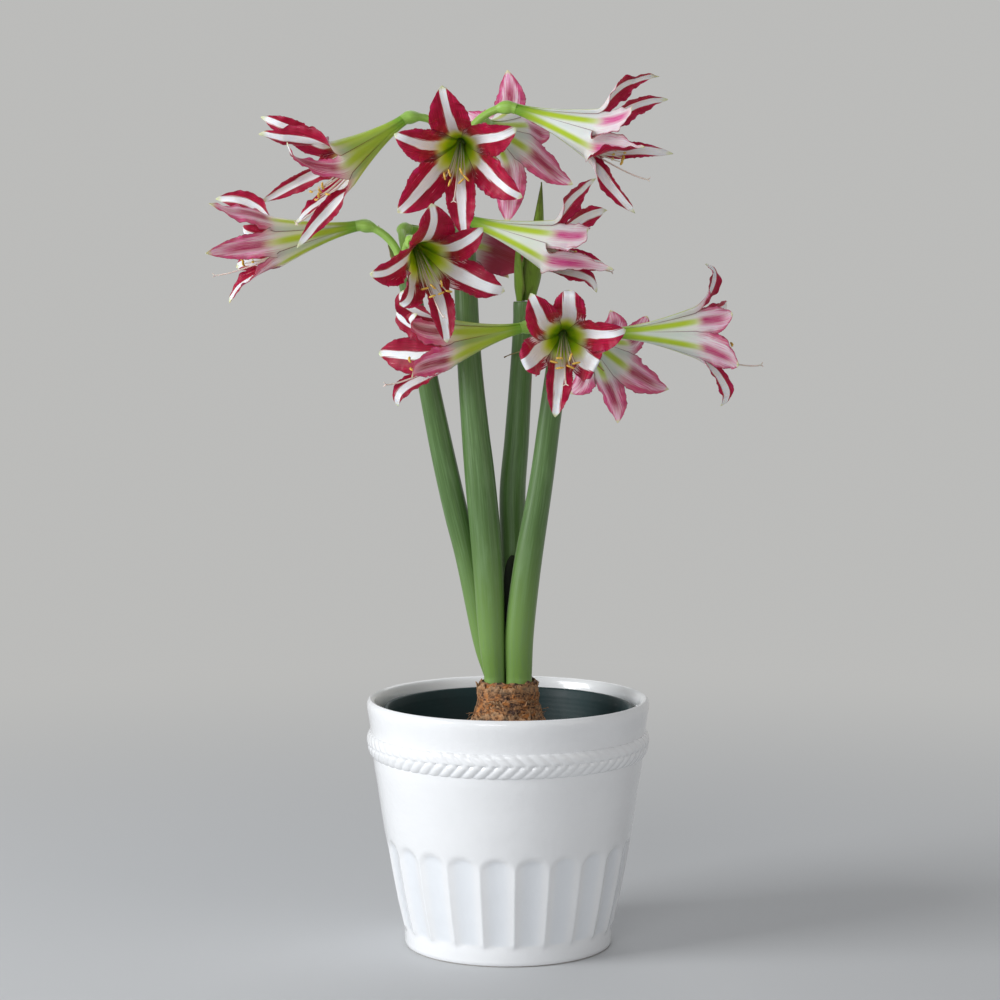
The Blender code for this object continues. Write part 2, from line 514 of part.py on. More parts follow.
def perianth(flower):
    """A closed shell: twelve-sided funnel whose rim carries six three-column tepals."""
    tips = flower["tips"]
    mouth_lean = math.atan(1.5 * (MOUTH_RADIUS - TUBE_RADIUS) / MOUTH_HEIGHT)
    base = np.radians(flower["roll"] + 60.0 * np.arange(6))
    tip_angle = np.array([math.radians(t[0]) for t in tips])
    tip_angle = base + (tip_angle - base + math.pi) % (2 * math.pi) - math.pi
    gap_after = (np.roll(tip_angle, -1) - tip_angle) % (2 * math.pi)
    half_gap = np.minimum(gap_after, np.roll(gap_after, 1)) / 2
    outer, inner = [], []
    for z in (*TUBE_ROWS, MOUTH_HEIGHT):
        lean = math.atan(1.5 * (MOUTH_RADIUS - TUBE_RADIUS) * math.sqrt(z / MOUTH_HEIGHT) / MOUTH_HEIGHT)
        angle = base[0] + np.radians(30.0 * (np.arange(12) - 1))
        radial = np.stack([np.cos(angle), np.sin(angle), 0 * angle], 1)
        ring = tube_radius(z) * radial + (0, 0, z)
        normal = math.cos(lean) * radial + (0, 0, -math.sin(lean))
        outer.append(ring)
        inner.append(ring - TEPAL_THICK * normal + ((0, 0, TUBE_FLOOR) if z == 0 else 0))
    tube = len(outer)
    points = np.vstack(outer + inner)
    ring_of = lambda skin, row, column: (skin * tube + row) * 12 + column % 12
    faces = []
    for row in range(tube - 1):
        for c in range(12):
            quad = tuple(ring_of(0, row + (i > 1), c + (i in (1, 2))) for i in range(4))
            back = tuple(ring_of(1, row + (i > 1), c + (i in (1, 2))) for i in range(4))
            faces += [quad, back[::-1]]
    faces.append(tuple(ring_of(0, 0, c) for c in range(12))[::-1])
    faces.append(tuple(ring_of(1, 0, c) for c in range(12)))
    for k in range(6):
        _, reach, height, lean, twist, hook, cup, broad, spring = tips[k]
        lean = math.radians(lean)
        start_out = np.array([math.cos(base[k]), math.sin(base[k]), 0])
        end_out = np.array([math.cos(tip_angle[k]), math.sin(tip_angle[k]), 0])
        up = np.array([0, 0, 1.0])
        start = MOUTH_RADIUS * start_out + MOUTH_HEIGHT * up
        end = reach * end_out + height * up
        span = np.linalg.norm(end - start)
        leave = spring * span * (math.sin(mouth_lean) * start_out + math.cos(mouth_lean) * up)
        arrive = (1.7 - 0.6 * math.sin(lean)) * span * (math.sin(lean) * end_out + math.cos(lean) * up)
        spine = lambda t: hermite(start, leave, end, arrive, t)
        rows = BLADE_ROWS
        middle = spine(rows)
        tangent = unit(spine(rows + 0.01) - spine(rows - 0.01))
        angle = base[k] + (tip_angle[k] - base[k]) * rows
        side = np.stack([-np.sin(angle), np.cos(angle), 0 * angle], 1)
        side = unit(side - np.sum(side * tangent, 1, keepdims=True) * tangent)
        out = np.cross(side, tangent)
        turn = np.radians(twist) * ease(rows / 0.7)[:, None]
        side, out = np.cos(turn) * side + np.sin(turn) * out, np.cos(turn) * out - np.sin(turn) * side
        middle = middle + out * (2 * hook * ease((rows - 0.76) / 0.38))[:, None]
        distance = np.hypot(middle[:, 0], middle[:, 1])
        room = distance * np.tan(math.pi / 6 + (half_gap[k] - math.pi / 6) * rows) * 0.95 - 0.8
        widest = (OUTER_TEPAL if k % 2 else INNER_TEPAL) * broad
        half = np.minimum(widest * BLADE_WIDTH, room)[:, None, None]
        arc = (0.6 - 0.42 * rows) * (1 + (cup - 1) * ease(rows / 0.25))
        arc = np.clip(arc, -1, 1)[:, None, None]
        across = np.array([-1.0, 0.0, 1.0])[None, :, None]
        skin = (middle[:, None] + side[:, None] * half * np.sin(arc * across) / arc
                - out[:, None] * half * (1 - np.cos(arc * across)) / arc)
        normal = np.cos(arc * across) * out[:, None] + np.sin(arc * across) * side[:, None]
        back = skin - normal * TEPAL_THICK * (1 - 0.3 * across**2)
        first = len(points)
        points = np.vstack([points, skin.reshape(-1, 3), back.reshape(-1, 3)])
        blade = len(rows) * 3

        def at(skin_side, row, column):
            if row == 0:
                return ring_of(skin_side, tube - 1, 2 * k + column)
            return first + skin_side * blade + (row - 1) * 3 + column

        for row in range(len(rows)):
            for c in (0, 1):
                front, rear = ([at(s, row + (i > 1), c + (i in (1, 2))) for i in range(4)] for s in (0, 1))
                for i, j, m in ((0, 1, 2), (0, 2, 3)):
                    faces += [(front[i], front[j], front[m]), (rear[m], rear[j], rear[i])]
            faces.append((at(0, row, 0), at(0, row + 1, 0), at(1, row + 1, 0), at(1, row, 0)))
            faces.append((at(0, row + 1, 2), at(0, row, 2), at(1, row, 2), at(1, row + 1, 2)))
        last = len(rows)
        for c in (0, 1):
            faces.append((at(0, last, c), at(0, last, c + 1), at(1, last, c + 1), at(1, last, c)))
    return points, faces


def stamens(flower):
    """Six filaments with anthers and one longer style on a small hexagonal foot, bent by `droop`."""
    droop = flower.get("droop", 1.0)
    low, top = TUBE_FLOOR + SEAT, TUBE_FLOOR + SEAT + 2.0
    corners = np.radians(60.0 * np.arange(6) - 30)
    ring = lambda r, z: np.stack([r * np.cos(corners), r * np.sin(corners), 0 * corners + z], 1)
    points = np.vstack([ring(2.9, low), ring(2.9, top), ring(0.7, top + 0.3)])
    faces = [tuple(range(6))[::-1]] + [(i, (i + 1) % 6, 6 + (i + 1) % 6, 6 + i) for i in range(6)]
    t = np.array([0.0, 0.45, 0.91, 0.93, 1.0])
    style_end = np.array([0, -26 * droop, 120.0])
    path = hermite(np.array([0, 0, top + 0.3]), np.array([0, -14 * droop, 60.0]), style_end,
                   np.array([0, 14 * droop, 60.0]), t)
    girth = (0.7, 0.6, 0.6, 1.0, 1.3)
    for i in range(1, len(t)):
        row = len(points)
        points = np.vstack([points, ring(girth[i], 0) + path[i]])
        before = 12 if i == 1 else row - 6
        faces += [(before + c, before + (c + 1) % 6, row + (c + 1) % 6, row + c) for c in range(6)]
    faces.append(tuple(range(len(points) - 6, len(points))))
    for i in range(6):
        outer_a, outer_b, inner_a, inner_b = 6 + i, 6 + (i + 1) % 6, 12 + i, 12 + (i + 1) % 6
        mid = math.radians(60 * i)
        centre = np.array([1.75 * math.cos(mid), 1.75 * math.sin(mid), top + 0.15])
        out, side = turned(60 * i), turned(60 * i + 90)
        square = np.stack([out * 0.55 - side * 0.55, out * 0.55 + side * 0.55, -out * 0.45 + side * 0.4,
                           -out * 0.45 - side * 0.4])
        end = centre + out * (6.5, 2.5, 0) + (0, -13 * droop, 82 + 4 * math.cos(3.1 * i))
        path = hermite(centre, 4 * out + (0, -6 * droop, 62), end, 4 * out + (0, 14 * droop, 34), t)
        row = len(points)
        points = np.vstack([points, square + centre])
        rim = (outer_a, outer_b, inner_b, inner_a)
        faces += [(rim[c], rim[(c + 1) % 4], row + (c + 1) % 4, row + c) for c in range(4)]
        for j, size in zip(range(1, len(t)), (1.0, 0.9, 2.2, 2.0)):
            here = len(points)
            points = np.vstack([points, square * size + path[j]])
            faces += [(row + c, row + (c + 1) % 4, here + (c + 1) % 4, here + c) for c in range(4)]
            row = here
        faces.append((row, row + 1, row + 2, row + 3))
    return points, faces


def build_flowers():
    for name, flower in FLOWERS.items():
        frame = flower_axes(flower)
        foot = np.array(flower["foot"], float)
        points, faces = perianth(flower)
        make(f"{name}_perianth", points @ frame.T + foot, faces, (0.62, 0.06, 0.13), 0.45)
        points, faces = stamens(flower)
        make(f"{name}_stamens", points @ frame.T + foot, faces, (0.86, 0.76, 0.45), 0.5)
        x, y, z, _, _ = SCAPES[flower["scape"]][-1]
        start = np.array([x, y, z + CROWN + SEAT]) + 4.9 * turned(SLOTS[name.split("_")[1]])
        end = foot - SEAT * frame[:, 2]
        rise, close = np.array([0, 0, 1.0]), frame[:, 2]
        span = np.linalg.norm(end - start)
        t = np.linspace(0, 1, 8)
        path = hermite(start + 1.2 * rise, rise * span, end - 1.2 * close, close * span * 0.9, t)
        path = np.vstack([start, path, end])
        run = np.linalg.norm(path - path[-1], axis=1)
        swell = np.sin(np.clip(run / OVARY_LENGTH, 0, 1) * math.pi)
        swell = np.maximum(swell, 0.6 * (run < OVARY_LENGTH / 2))
        girth = PEDICEL_RADIUS + (OVARY_RADIUS - PEDICEL_RADIUS) * swell
        points, faces = sweep(path, frame[:, 0], girth, girth, 7)
        make(f"{name}_pedicel", points, faces, (0.18, 0.4, 0.1), 0.45)


def main():
    for obj in list(bpy.data.objects):
        bpy.data.objects.remove(obj, do_unlink=True)
    build_cachepot()
    build_nursery_pot()
    build_soil()
    build_bulb()
    build_tunics()
    build_scapes()
    build_leaf()
    build_spathes()
    build_flowers()


main()
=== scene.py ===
"""Potted amaryllis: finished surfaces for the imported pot, bulb, scapes and flowers.

Run as a script. It is laid out as an add-on: PropertyGroups hold the sizes and colours,
one operator builds each kind of piece, and a panel in the 3D view's sidebar lists them.
Lengths inside the surface functions are millimetres; a mesh is made in metres.
"""

import math

import bpy
import numpy as np
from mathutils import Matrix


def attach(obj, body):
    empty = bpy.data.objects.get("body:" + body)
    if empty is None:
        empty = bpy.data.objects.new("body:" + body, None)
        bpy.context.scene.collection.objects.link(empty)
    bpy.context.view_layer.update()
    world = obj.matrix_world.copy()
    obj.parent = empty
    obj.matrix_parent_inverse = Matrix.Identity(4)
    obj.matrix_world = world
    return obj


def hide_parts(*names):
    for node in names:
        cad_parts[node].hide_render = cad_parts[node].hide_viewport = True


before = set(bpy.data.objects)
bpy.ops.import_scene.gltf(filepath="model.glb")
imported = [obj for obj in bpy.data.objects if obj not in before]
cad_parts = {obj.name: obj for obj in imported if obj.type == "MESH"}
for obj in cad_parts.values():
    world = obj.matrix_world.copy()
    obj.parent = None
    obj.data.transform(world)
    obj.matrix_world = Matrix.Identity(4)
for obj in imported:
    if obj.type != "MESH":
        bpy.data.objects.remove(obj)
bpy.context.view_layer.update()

bl_info = {
    "name": "Potted Amaryllis",
    "version": (1, 0, 0),
    "blender": (4, 5, 0),
    "location": "View3D > Sidebar > Amaryllis",
    "description": "Builds the finished surfaces of a potted amaryllis round its solid frame",
    "category": "Add Mesh",
}

MM = 0.001
TURN = 2 * math.pi
EAST, UP = np.array([1.0, 0.0, 0.0]), np.array([0.0, 0.0, 1.0])
WAVES = 7  # sine waves in each octave of a ripple

# Cachepot
POT_HEIGHT = 203.3
RIM_RADIUS = 115.0
FOOT_RADIUS = 84.6
FLOOR_TOP = 8.0
FLUTES, FLUTE_STEPS = 22, 24
FLUTE_START = math.radians(3.2 - 90)
FLUTE_FOOT, FLUTE_HEAD, FLUTE_ARCH = 15.0, 91.0, 11.0
FLUTE_DEPTH = 2.6
ROPE_MIDDLE, ROPE_HALF = 166.5, 10.5
ROPE_WALL = 110.7
ROPE_TWISTS, ROPE_STEPS, ROPE_ROWS = 72, 12, 27

# Nursery pot: the six holes round the middle of its floor
HOLES, HOLE_RING, HOLE_RADIUS = 6, 46.0, 6.0

# Bulb: the neck's top is hollowed by the recess, where the scapes come out
BULB_FOOT = 68.0
NECK_TOP = 218.5
NECK_RADIUS = 23.2
NECK_RECESS = 11.0
SCALE_FOOT = 150.0  # where the dry scales come out of the soil

# Flower: a funnel that opens into six pointed tepals
TUBE_RADIUS = 4.6
MOUTH_RADIUS = 20.0
MOUTH_HEIGHT = 62.0
OUTER_TEPAL, INNER_TEPAL = 16.6, 14.2
TUBE_ARC = 0.645  # half the angle that a tepal takes up in the tube, in radians
TEPAL_COLUMNS, TUBE_ROWS, BLADE_ROWS = 17, 17, 46
TUBE_FLOOR = 6.0
OVARY_LENGTH, OVARY_RADIUS = 15.0, 5.4
PEDICEL_RADIUS = 3.2

# Scapes: rows of (x, y, z, half width, half depth) from the bulb upward, under a rounded crown
CROWN = 1.2
SCAPES = {
    "scape_left": (
        (-12.4, 7.6, 221, 7.4, 6.6), (-20, 8, 250, 9, 8), (-33, 4, 316, 9.5, 9),
        (-43, 0, 358, 9.8, 9.2), (-53, -6, 404, 9.5, 9), (-64, -13, 460, 8.6, 8.4),
        (-74, -20, 515, 8.2, 8), (-82, -25, 556, 8.6, 8.4),
    ),
    "scape_tall": (
        (-11.0, -7.4, 221, 8.2, 6.8), (-13.5, -9.5, 255, 10.6, 9.5), (-16.5, -10, 315, 12.3, 11),
        (-22.5, -10, 381, 12.2, 11), (-27, -9, 427, 11, 10.4), (-31.5, -8, 483, 9.8, 9.6),
        (-35, -6, 560, 9.2, 9), (-39, -5, 648, 9, 8.8),
    ),
    "scape_back": (
        (5.5, 8, 221, 8.4, 6.6), (6, 12, 260, 9.6, 8.6), (4.5, 13, 323, 10.5, 9.6),
        (3.5, 13, 369, 10.6, 9.8), (7, 12, 415, 10, 9.4), (11, 10, 478, 8.9, 8.5),
        (13.8, 8, 524, 9.2, 8.4),
    ),
    "scape_right": (
        (8.6, -7.4, 221, 10.6, 6.8), (9.4, -10, 260, 11.6, 9.6), (15.8, -13, 315, 11.2, 9.8),
        (26.5, -17, 381, 9.6, 9.2), (34, -21, 438, 9, 8.8), (41, -25, 488, 8.8, 8.6),
    ),
}
# The scape of each tier of flowers, and where on its top each stalk stands, in degrees
TIERS = {"upper": "scape_tall", "middle": "scape_left", "lower": "scape_right"}
SLOTS = {"left": 180, "front": -90, "right": 0, "back": 90}

# Flowers: foot of the funnel, azimuth and elevation of its axis and roll of the tepals in degrees.
# droop bends the stamens. pale widens the white stripe, as one value or one for each tepal. One
# more value deepens the reds: partly the flower's own deeper red, partly painted shade on the
# flowers that stand in shade. lime spreads the green of the outside. Each tepal's tip is (angle
# round the axis, distance from it, height along it, final lean, twist, outward hook, cup, width,
# spring)
FLOWERS = {
    "upper_left": dict(
        foot=(-84, -24, 669), azimuth=203, elevation=-33, roll=0,
        droop=0.75, pale=0.0, deep_red_and_shade=0.4, lime=0.95,
        tips=((70, 42, 98, 80, 0, 3, 0.7, 0.55, 0.9), (98, 49, 104, 20, -52, 7, -2.2, 0.8, 0.4),
              (114, 65, 91, 40, -50, 6, 1.6, 0.85, 0.3), (178, 46, 121, 15, 0, 2, 3.2, 0.6, 0.9),
              (245, 20, 117, 0, 0, 3, 1.4, 0.7, 0.8), (290, 35, 131, 20, 95, 2, 1.8, 0.55, 0.7)),
    ),
    "upper_front": dict(
        foot=(-37, -47, 652), azimuth=-92, elevation=-10, roll=38, pale=0.0,
        tips=((28, 53, 98, 85, 0, 2, 1, 1.05, 0.9), (99, 58, 98, 80, 0, 1, 1.1, 1, 0.9),
              (155, 50, 98, 85, 0, 2, 0.9, 1, 0.9), (222, 58, 98, 75, 8, 2, 1.2, 0.95, 0.9),
              (277, 57, 100, 75, 0, 2, 1.5, 0.9, 1), (331, 57, 98, 80, -8, 3, 1, 0.88, 0.9)),
    ),
    "upper_back": dict(
        foot=(-17, 33, 668), azimuth=76, elevation=-8, roll=30, pale=0.2, deep_red_and_shade=0.3,
        tips=((30, 52, 98, 75, 0, 2, 1, 0.9, 1), (82, 61, 98, 75, 0, 3, 1, 0.85, 0.9),
              (168, 33, 92, 110, 0, 3, 0.6, 0.85, 0.9), (217, 60, 98, 60, 25, 4, 1.2, 0.8, 0.9),
              (274, 67, 98, 70, 0, 2, 0.7, 1.1, 0.9), (330, 52, 98, 75, 0, 2, 1, 0.9, 1)),
    ),
    "upper_right": dict(
        foot=(6, -8, 679), azimuth=-3, elevation=-18, roll=30,
        droop=0.8, pale=0.4, deep_red_and_shade=-0.45, lime=0.05,
        tips=((50, 58, 113, 15, 20, 2, 2.2, 0.8, 0.8), (84, 51, 98, -15, 35, 9, 1.6, 0.85, 0.4),
              (148, 54, 90, 75, 0, 2, 0.8, 0.85, 0.8), (185, 36, 108, 20, 75, 4, -4, 0.9, 0.9),
              (268, 50, 116, 35, -110, 2, 4, 0.75, 0.6), (12, 20, 131, 10, 0, 3, 2, 0.5, 1.1)),
    ),
    "middle_left": dict(
        foot=(-121, -24, 586), azimuth=184, elevation=-11, roll=0,
        droop=0.65, pale=0.1, deep_red_and_shade=0.25, lime=0.5,
        tips=((3, 34, 121, 15, 0, 4, -1.5, 0.75, 1.1), (55, 39, 110, 0, 0, 7, 1, 0.85, 0.6),
              (105, 42, 105, -5, -60, 5, 1.6, 0.85, 0.4), (150, 30, 91, 60, 0, 2, 1.2, 0.9, 1),
              (215, 24, 101, 30, 10, 2, 1.4, 0.9, 1), (275, 37, 113, 35, 35, 4, 2, 0.8, 0.6)),
    ),
    "middle_front": dict(
        foot=(-74, -67, 573), azimuth=-76, elevation=-14, roll=44, deep_red_and_shade=0.45,
        pale=(0, -0.25, 0.35, 0, 0, 1),
        tips=((48, 48, 92, 80, 12, 3, 1.6, 0.9, 0.9), (97, 54, 92, 85, -12, 3, 1.2, 1.2, 0.9),
              (180, 52, 92, 80, 4, 2, 1.3, 1.1, 0.9), (222, 38, 92, 100, 0, 3, 2.5, 0.75, 0.9),
              (280, 54, 94, 75, 0, 2, 2.2, 0.8, 1), (344, 54, 92, 75, -12, 3, -1.5, 0.85, 0.9)),
    ),
    "middle_back": dict(
        foot=(-80, 14, 583), azimuth=44, elevation=-13, roll=0, droop=0.3, pale=0.1, deep_red_and_shade=1,
        tips=((5, 42, 104, 60, 0, 2, 1, 0.9, 1), (65, 26, 112, 40, 0, 3, 1.3, 0.8, 1),
              (125, 26, 112, 30, 0, 2, 1.3, 0.9, 1), (188, 38, 104, 55, 10, 2, 0.9, 1.1, 1),
              (235, 18, 108, 20, 0, 3, 1.2, 0.8, 1), (303, 24, 108, 30, 0, 2, 1.2, 0.8, 1)),
    ),
    "middle_right": dict(
        foot=(-29, -45, 590), azimuth=-8, elevation=-17, roll=30,
        droop=0.2, pale=0.4, deep_red_and_shade=-0.35, lime=0.25,
        tips=((45, 53, 97, 20, 15, 2, 1.6, 1, 0.8), (78, 56, 85, 20, 40, 7, 1.8, 0.75, 0.4),
              (150, 44, 96, 75, 0, 2, 0.8, 0.9, 0.9), (195, 16, 120, 0, 60, 2, -3, 0.65, 0.7),
              (268, 22, 113, 45, -60, 5, 1.4, 0.6, 0.6), (350, 25, 112, 10, 0, 2, 1.6, 0.7, 1)),
    ),
    "lower_left": dict(
        foot=(9, -50, 506), azimuth=202, elevation=-10, roll=30,
        droop=0.85, pale=0.0, deep_red_and_shade=0.45, lime=0.9,
        tips=((40, 50, 100, 110, 0, 4, 1, 0.85, 0.9), (95, 48, 92, 100, -40, 4, 1.4, 0.8, 0.9),
              (148, 56, 84, 90, 0, 2, 1.4, 0.85, 0.9), (184, 58, 101, 55, 0, 2, 1.3, 0.95, 0.8),
              (262, 42, 112, 80, 40, 5, 1.6, 0.7, 0.9), (330, 30, 108, 35, 0, 3, 0.8, 0.8, 0.9)),
    ),
    "lower_front": dict(
        foot=(43, -67, 502), azimuth=-90, elevation=-3, roll=20, deep_red_and_shade=0.1,
        pale=(0.4, 0.7, 0.35, 1.2, 0, 1.2),
        tips=((14, 47, 92, 85, -10, 3, 1.5, 1, 0.9), (86, 44, 86, 130, 0, 3, 0.5, 0.8, 0.9),
              (124, 47, 92, 75, 10, 2, 1.3, 1, 0.9), (205, 38, 88, 120, 0, 4, -1, 0.9, 0.9),
              (262, 54, 94, 75, 0, 2, 1.8, 0.8, 0.9), (327, 32, 86, 140, 0, 5, -1.5, 0.95, 0.9)),
    ),
    "lower_back": dict(
        foot=(62, 12, 497), azimuth=72, elevation=-16, roll=30, pale=0.5, deep_red_and_shade=0.3,
        tips=((28, 46, 98, 80, 0, 2, 1, 0.9, 1), (82, 46, 96, 100, 15, 3, 1, 0.8, 0.9),
              (122, 48, 92, 110, -20, 3, 1.2, 0.8, 0.9), (207, 51, 98, 60, 35, 3, 0.7, 0.9, 0.9),
              (263, 51, 98, 70, -12, 2, 1.2, 0.9, 0.9), (325, 46, 98, 75, 0, 2, 1, 0.9, 1)),
    ),
    "lower_right": dict(
        foot=(85, -22, 501), azimuth=3, elevation=0, roll=30, pale=0.6, lime=0.2,
        tips=((30, 45, 96, 60, 0, 2, 1.2, 0.9, 1), (90, 57, 77, 115, 30, 4, 1.2, 0.75, 0.9),
              (150, 32, 92, 45, 0, 2, 1, 0.95, 0.9), (210, 47, 96, 50, 0, 2, 1, 0.95, 0.9),
              (270, 60, 88, 115, -60, 4, 1.4, 0.6, 0.9), (330, 45, 100, 60, 0, 2, 1, 0.9, 1)),
    ),
}

# Bracts: compass angle, reach, rise and half width
BRACTS = {
    "bract_upper_left": (144, 34, -2, 4.5),
    "bract_upper_right": (-36, 30, -10, 4.5),
    "bract_middle_left": (146, 18, 30, 2.5),
    "bract_middle_right": (-36, 30, -14, 4.5),
    "bract_lower_left": (144, 46, -8, 3.0),
    "bract_lower_right": (-36, 34, -16, 4.0),
}

# Lamps: place and side in metres, share of the key lamp's power and colour
LAMPS = {
    "key": ((-2.4, -1.1, 1.2), 1.4, 1.0, (0.97, 0.985, 1.0)),
    "front": ((-0.7, -2.9, 1.3), 1.2, 0.27, (0.97, 0.985, 1.0)),
    "fill": ((1.9, -1.3, 0.9), 1.6, 0.07, (1.0, 0.92, 0.84)),
    "back": ((0.3, 1.8, 1.9), 1.6, 0.15, (0.97, 0.98, 1.0)),
}
LAMP_AIM = (0, 0, 0.35)
SKY_COLOUR, SKY_STRENGTH = (0.95, 0.97, 1.0), 0.27
GROUND_HALF = 6
# Camera: place in metres, dip and turn in degrees, lens and sensor in mm
CAMERA_PLACE, CAMERA_DIP, CAMERA_TURN = (0, -2.41794, 0.60504), 5.672, 0.156
LENS_LENGTH, SENSOR_WIDTH = 108, 36


# --- vectors and curves


def unit(v):
    """v divided by its length."""
    return v / np.linalg.norm(v, axis=-1, keepdims=True)


def joined(*values):
    """The values side by side along a last axis, each stretched to their common shape."""
    return np.stack(np.broadcast_arrays(*values), -1)


def turned(angle):
    """The level unit vector at that many degrees from +X."""
    a = np.radians(angle)
    return joined(np.cos(a), np.sin(a), 0.0)


def circle(count):
    """count angles in radians, evenly round from 0."""
    return np.arange(count) * TURN / count


def ease(x, low, high):
    """0 before low, 1 after high, and 3s^2 - 2s^3 between them; low may be the greater."""
    s = np.clip((x - low) / (high - low), 0, 1)
    return s * s * (3 - 2 * s)


def hermite(start, leave, end, arrive, t):
    """The cubic from start to end that leaves and arrives with the given velocities."""
    t = t[:, None]
    return ((2 * t**3 - 3 * t**2 + 1) * start + (t**3 - 2 * t**2 + t) * leave
            + (3 * t**2 - 2 * t**3) * end + (t**3 - t**2) * arrive)


def smooth_path(rows, count):
    """Catmull-Rom curve through rows of numbers, sampled at count steps."""
    rows = np.array(rows, float)
    ends = np.vstack([2 * rows[0] - rows[1], rows, 2 * rows[-1] - rows[-2]])
    at = np.linspace(0, len(rows) - 1, count)
    i = np.minimum(at.astype(int), len(rows) - 2)
    t = (at - i)[:, None]
    a, b, c, d = ends[i], ends[i + 1], ends[i + 2], ends[i + 3]
    return 0.5 * (2 * b + (c - a) * t + (2 * a - 5 * b + 4 * c - d) * t**2
                  + (3 * b - a - 3 * c + d) * t**3)


def run_along(path):
    """Distance along a path from its first point to each of its points."""
    return np.r_[0, np.cumsum(np.linalg.norm(np.diff(path, axis=0), axis=1))]


def along_profile(profile, count):
    """count points at equal steps along a line through profile points (r, z)."""
    profile = np.array(profile, float)
    run = run_along(profile)
    at = np.linspace(0, run[-1], count)
    return np.interp(at, run, profile[:, 0]), np.interp(at, run, profile[:, 1])


def square_to(tangent, way):
    """The unit vectors nearest to way that are square to the unit tangents."""
    return unit(way - np.sum(way * tangent, 1, keepdims=True) * tangent)


def ripple(points, size, seed, octaves):
    """Sum of sine waves in random directions; each octave is half as long and 0.55 as high."""
    rng = np.random.default_rng(seed)
    total = np.zeros(points.shape[:-1])
    for octave in range(octaves):
        ways = unit(rng.normal(size=(WAVES, 3))) * TURN * 2**octave / size
        phase = rng.uniform(0, TURN, WAVES)
        total += 0.55**octave * np.sin(points @ ways.T + phase).sum(-1) / WAVES**0.5
    return total


# --- meshes


def border(grid):
    """The values round the edge of a grid, in order."""
    return np.r_[grid[0], grid[1:, -1], grid[-1, -2::-1], grid[-2:0:-1, 0]]


class Shape:
    """Gathers grids of points into one closed mesh.

    Each point carries two vectors for the materials: zone places it on its surface
    (across, along, side) and skin is a length in mm along the surface, for streaks and grain.
    tone is one vector for the whole mesh.
    """

    def __init__(self, tone=(0.0, 0.0, 0.0)):
        self.points, self.zone, self.skin, self.quads = [], [], [], []
        self.tris = [np.zeros((0, 3), int)]
        self.tone = tone
        self.count = 0

    def put(self, points, zone, skin):
        """Adds the points and returns their numbers, in the same grid."""
        index = self.count + np.arange(points[..., 0].size).reshape(points.shape[:-1])
        self.count += index.size
        for rows, values in ((self.points, points), (self.zone, zone), (self.skin, skin)):
            rows.append(np.broadcast_to(values, points.shape).reshape(-1, 3))
        return index

    def weave(self, index, wrap=False):
        """Quads between the neighbours of a grid of point numbers, facing columns x rows."""
        beside = np.roll(index, -1, 1) if wrap else index[:, 1:]
        here = index if wrap else index[:, :-1]
        quads = np.stack([here[:-1], beside[:-1], beside[1:], here[1:]], -1)
        self.quads.append(quads.reshape(-1, 4))

    def wall(self, first, second):
        """Quads between two rings of point numbers."""
        self.quads.append(joined(np.roll(first, -1), first, second, np.roll(second, -1)))

    def cap(self, ring, centre, zone, skin):
        """Triangles from a ring of point numbers to a new centre point."""
        middle = self.put(centre[None], zone, skin)
        self.tris.append(joined(ring, np.roll(ring, -1), middle))

    def tube(self, points, zone, skin):
        """A grid whose columns run round, with its two end rings closed on their own centres."""
        index = self.put(points, zone, skin)
        self.weave(index, wrap=True)
        zone, skin = np.broadcast_to(zone, points.shape), np.broadcast_to(skin, points.shape)
        self.cap(index[0][::-1], points[0].mean(0), zone[0, 0], skin[0, 0])
        self.cap(index[-1], points[-1].mean(0), zone[-1, 0], skin[-1, 0])
        return self

    def loop(self, points, zone, skin):
        """A grid whose columns run round and whose last row joins its first."""
        index = self.put(points, zone, skin)
        self.weave(np.vstack([index, index[:1]]), wrap=True)
        return self

    def sheet(self, front, back, zone, skin):
        """Two skins of one grid, walled all round. zone's last value is 0 in front, 1 behind."""
        fore = self.put(front, zone * (1, 1, 0), skin)
        rear = self.put(back, zone * (1, 1, 0) + (0, 0, 1), skin)
        self.weave(fore)
        self.weave(rear[:, ::-1])
        self.wall(border(fore), border(rear))
        return self

    def mesh(self, name, crease):
        """The gathered grids as a Blender mesh in metres, shaded smooth below the crease angle."""
        quads, tris = np.vstack(self.quads), np.vstack(self.tris)
        used, corners = np.unique(np.r_[quads.ravel(), tris.ravel()], return_inverse=True)
        points = np.vstack(self.points)[used] * MM
        starts = np.r_[np.arange(len(quads)) * 4, len(quads) * 4 + np.arange(len(tris)) * 3]
        data = bpy.data.meshes.new(name)
        data.vertices.add(len(points))
        data.vertices.foreach_set("co", points.ravel())
        data.loops.add(len(corners))
        data.loops.foreach_set("vertex_index", corners)
        data.polygons.add(len(starts))
        data.polygons.foreach_set("loop_start", starts)
        data.update(calc_edges=True)
        data.shade_smooth()
        data.set_sharp_from_angle(angle=math.radians(crease))
        tone = [np.tile(self.tone, (self.count, 1))]
        for label, rows in (("zone", self.zone), ("skin", self.skin), ("tone", tone)):
            layer = data.attributes.new(label, "FLOAT_VECTOR", "POINT")
            layer.data.foreach_set("vector", np.vstack(rows)[used].astype(np.float32).ravel())
        return data


def add_object(name, data):
    """A new object of that data, linked to the scene."""
    obj = bpy.data.objects.new(name, data)
    bpy.context.scene.collection.objects.link(obj)
    return obj


def add_piece(name, shape, material, node, crease=50.0):
    """The shape as an object that rides on the root body and stands for its CAD node."""
    obj = add_object(name, shape.mesh(name, crease))
    obj.data.materials.append(material)
    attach(obj, "root")
    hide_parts(node)


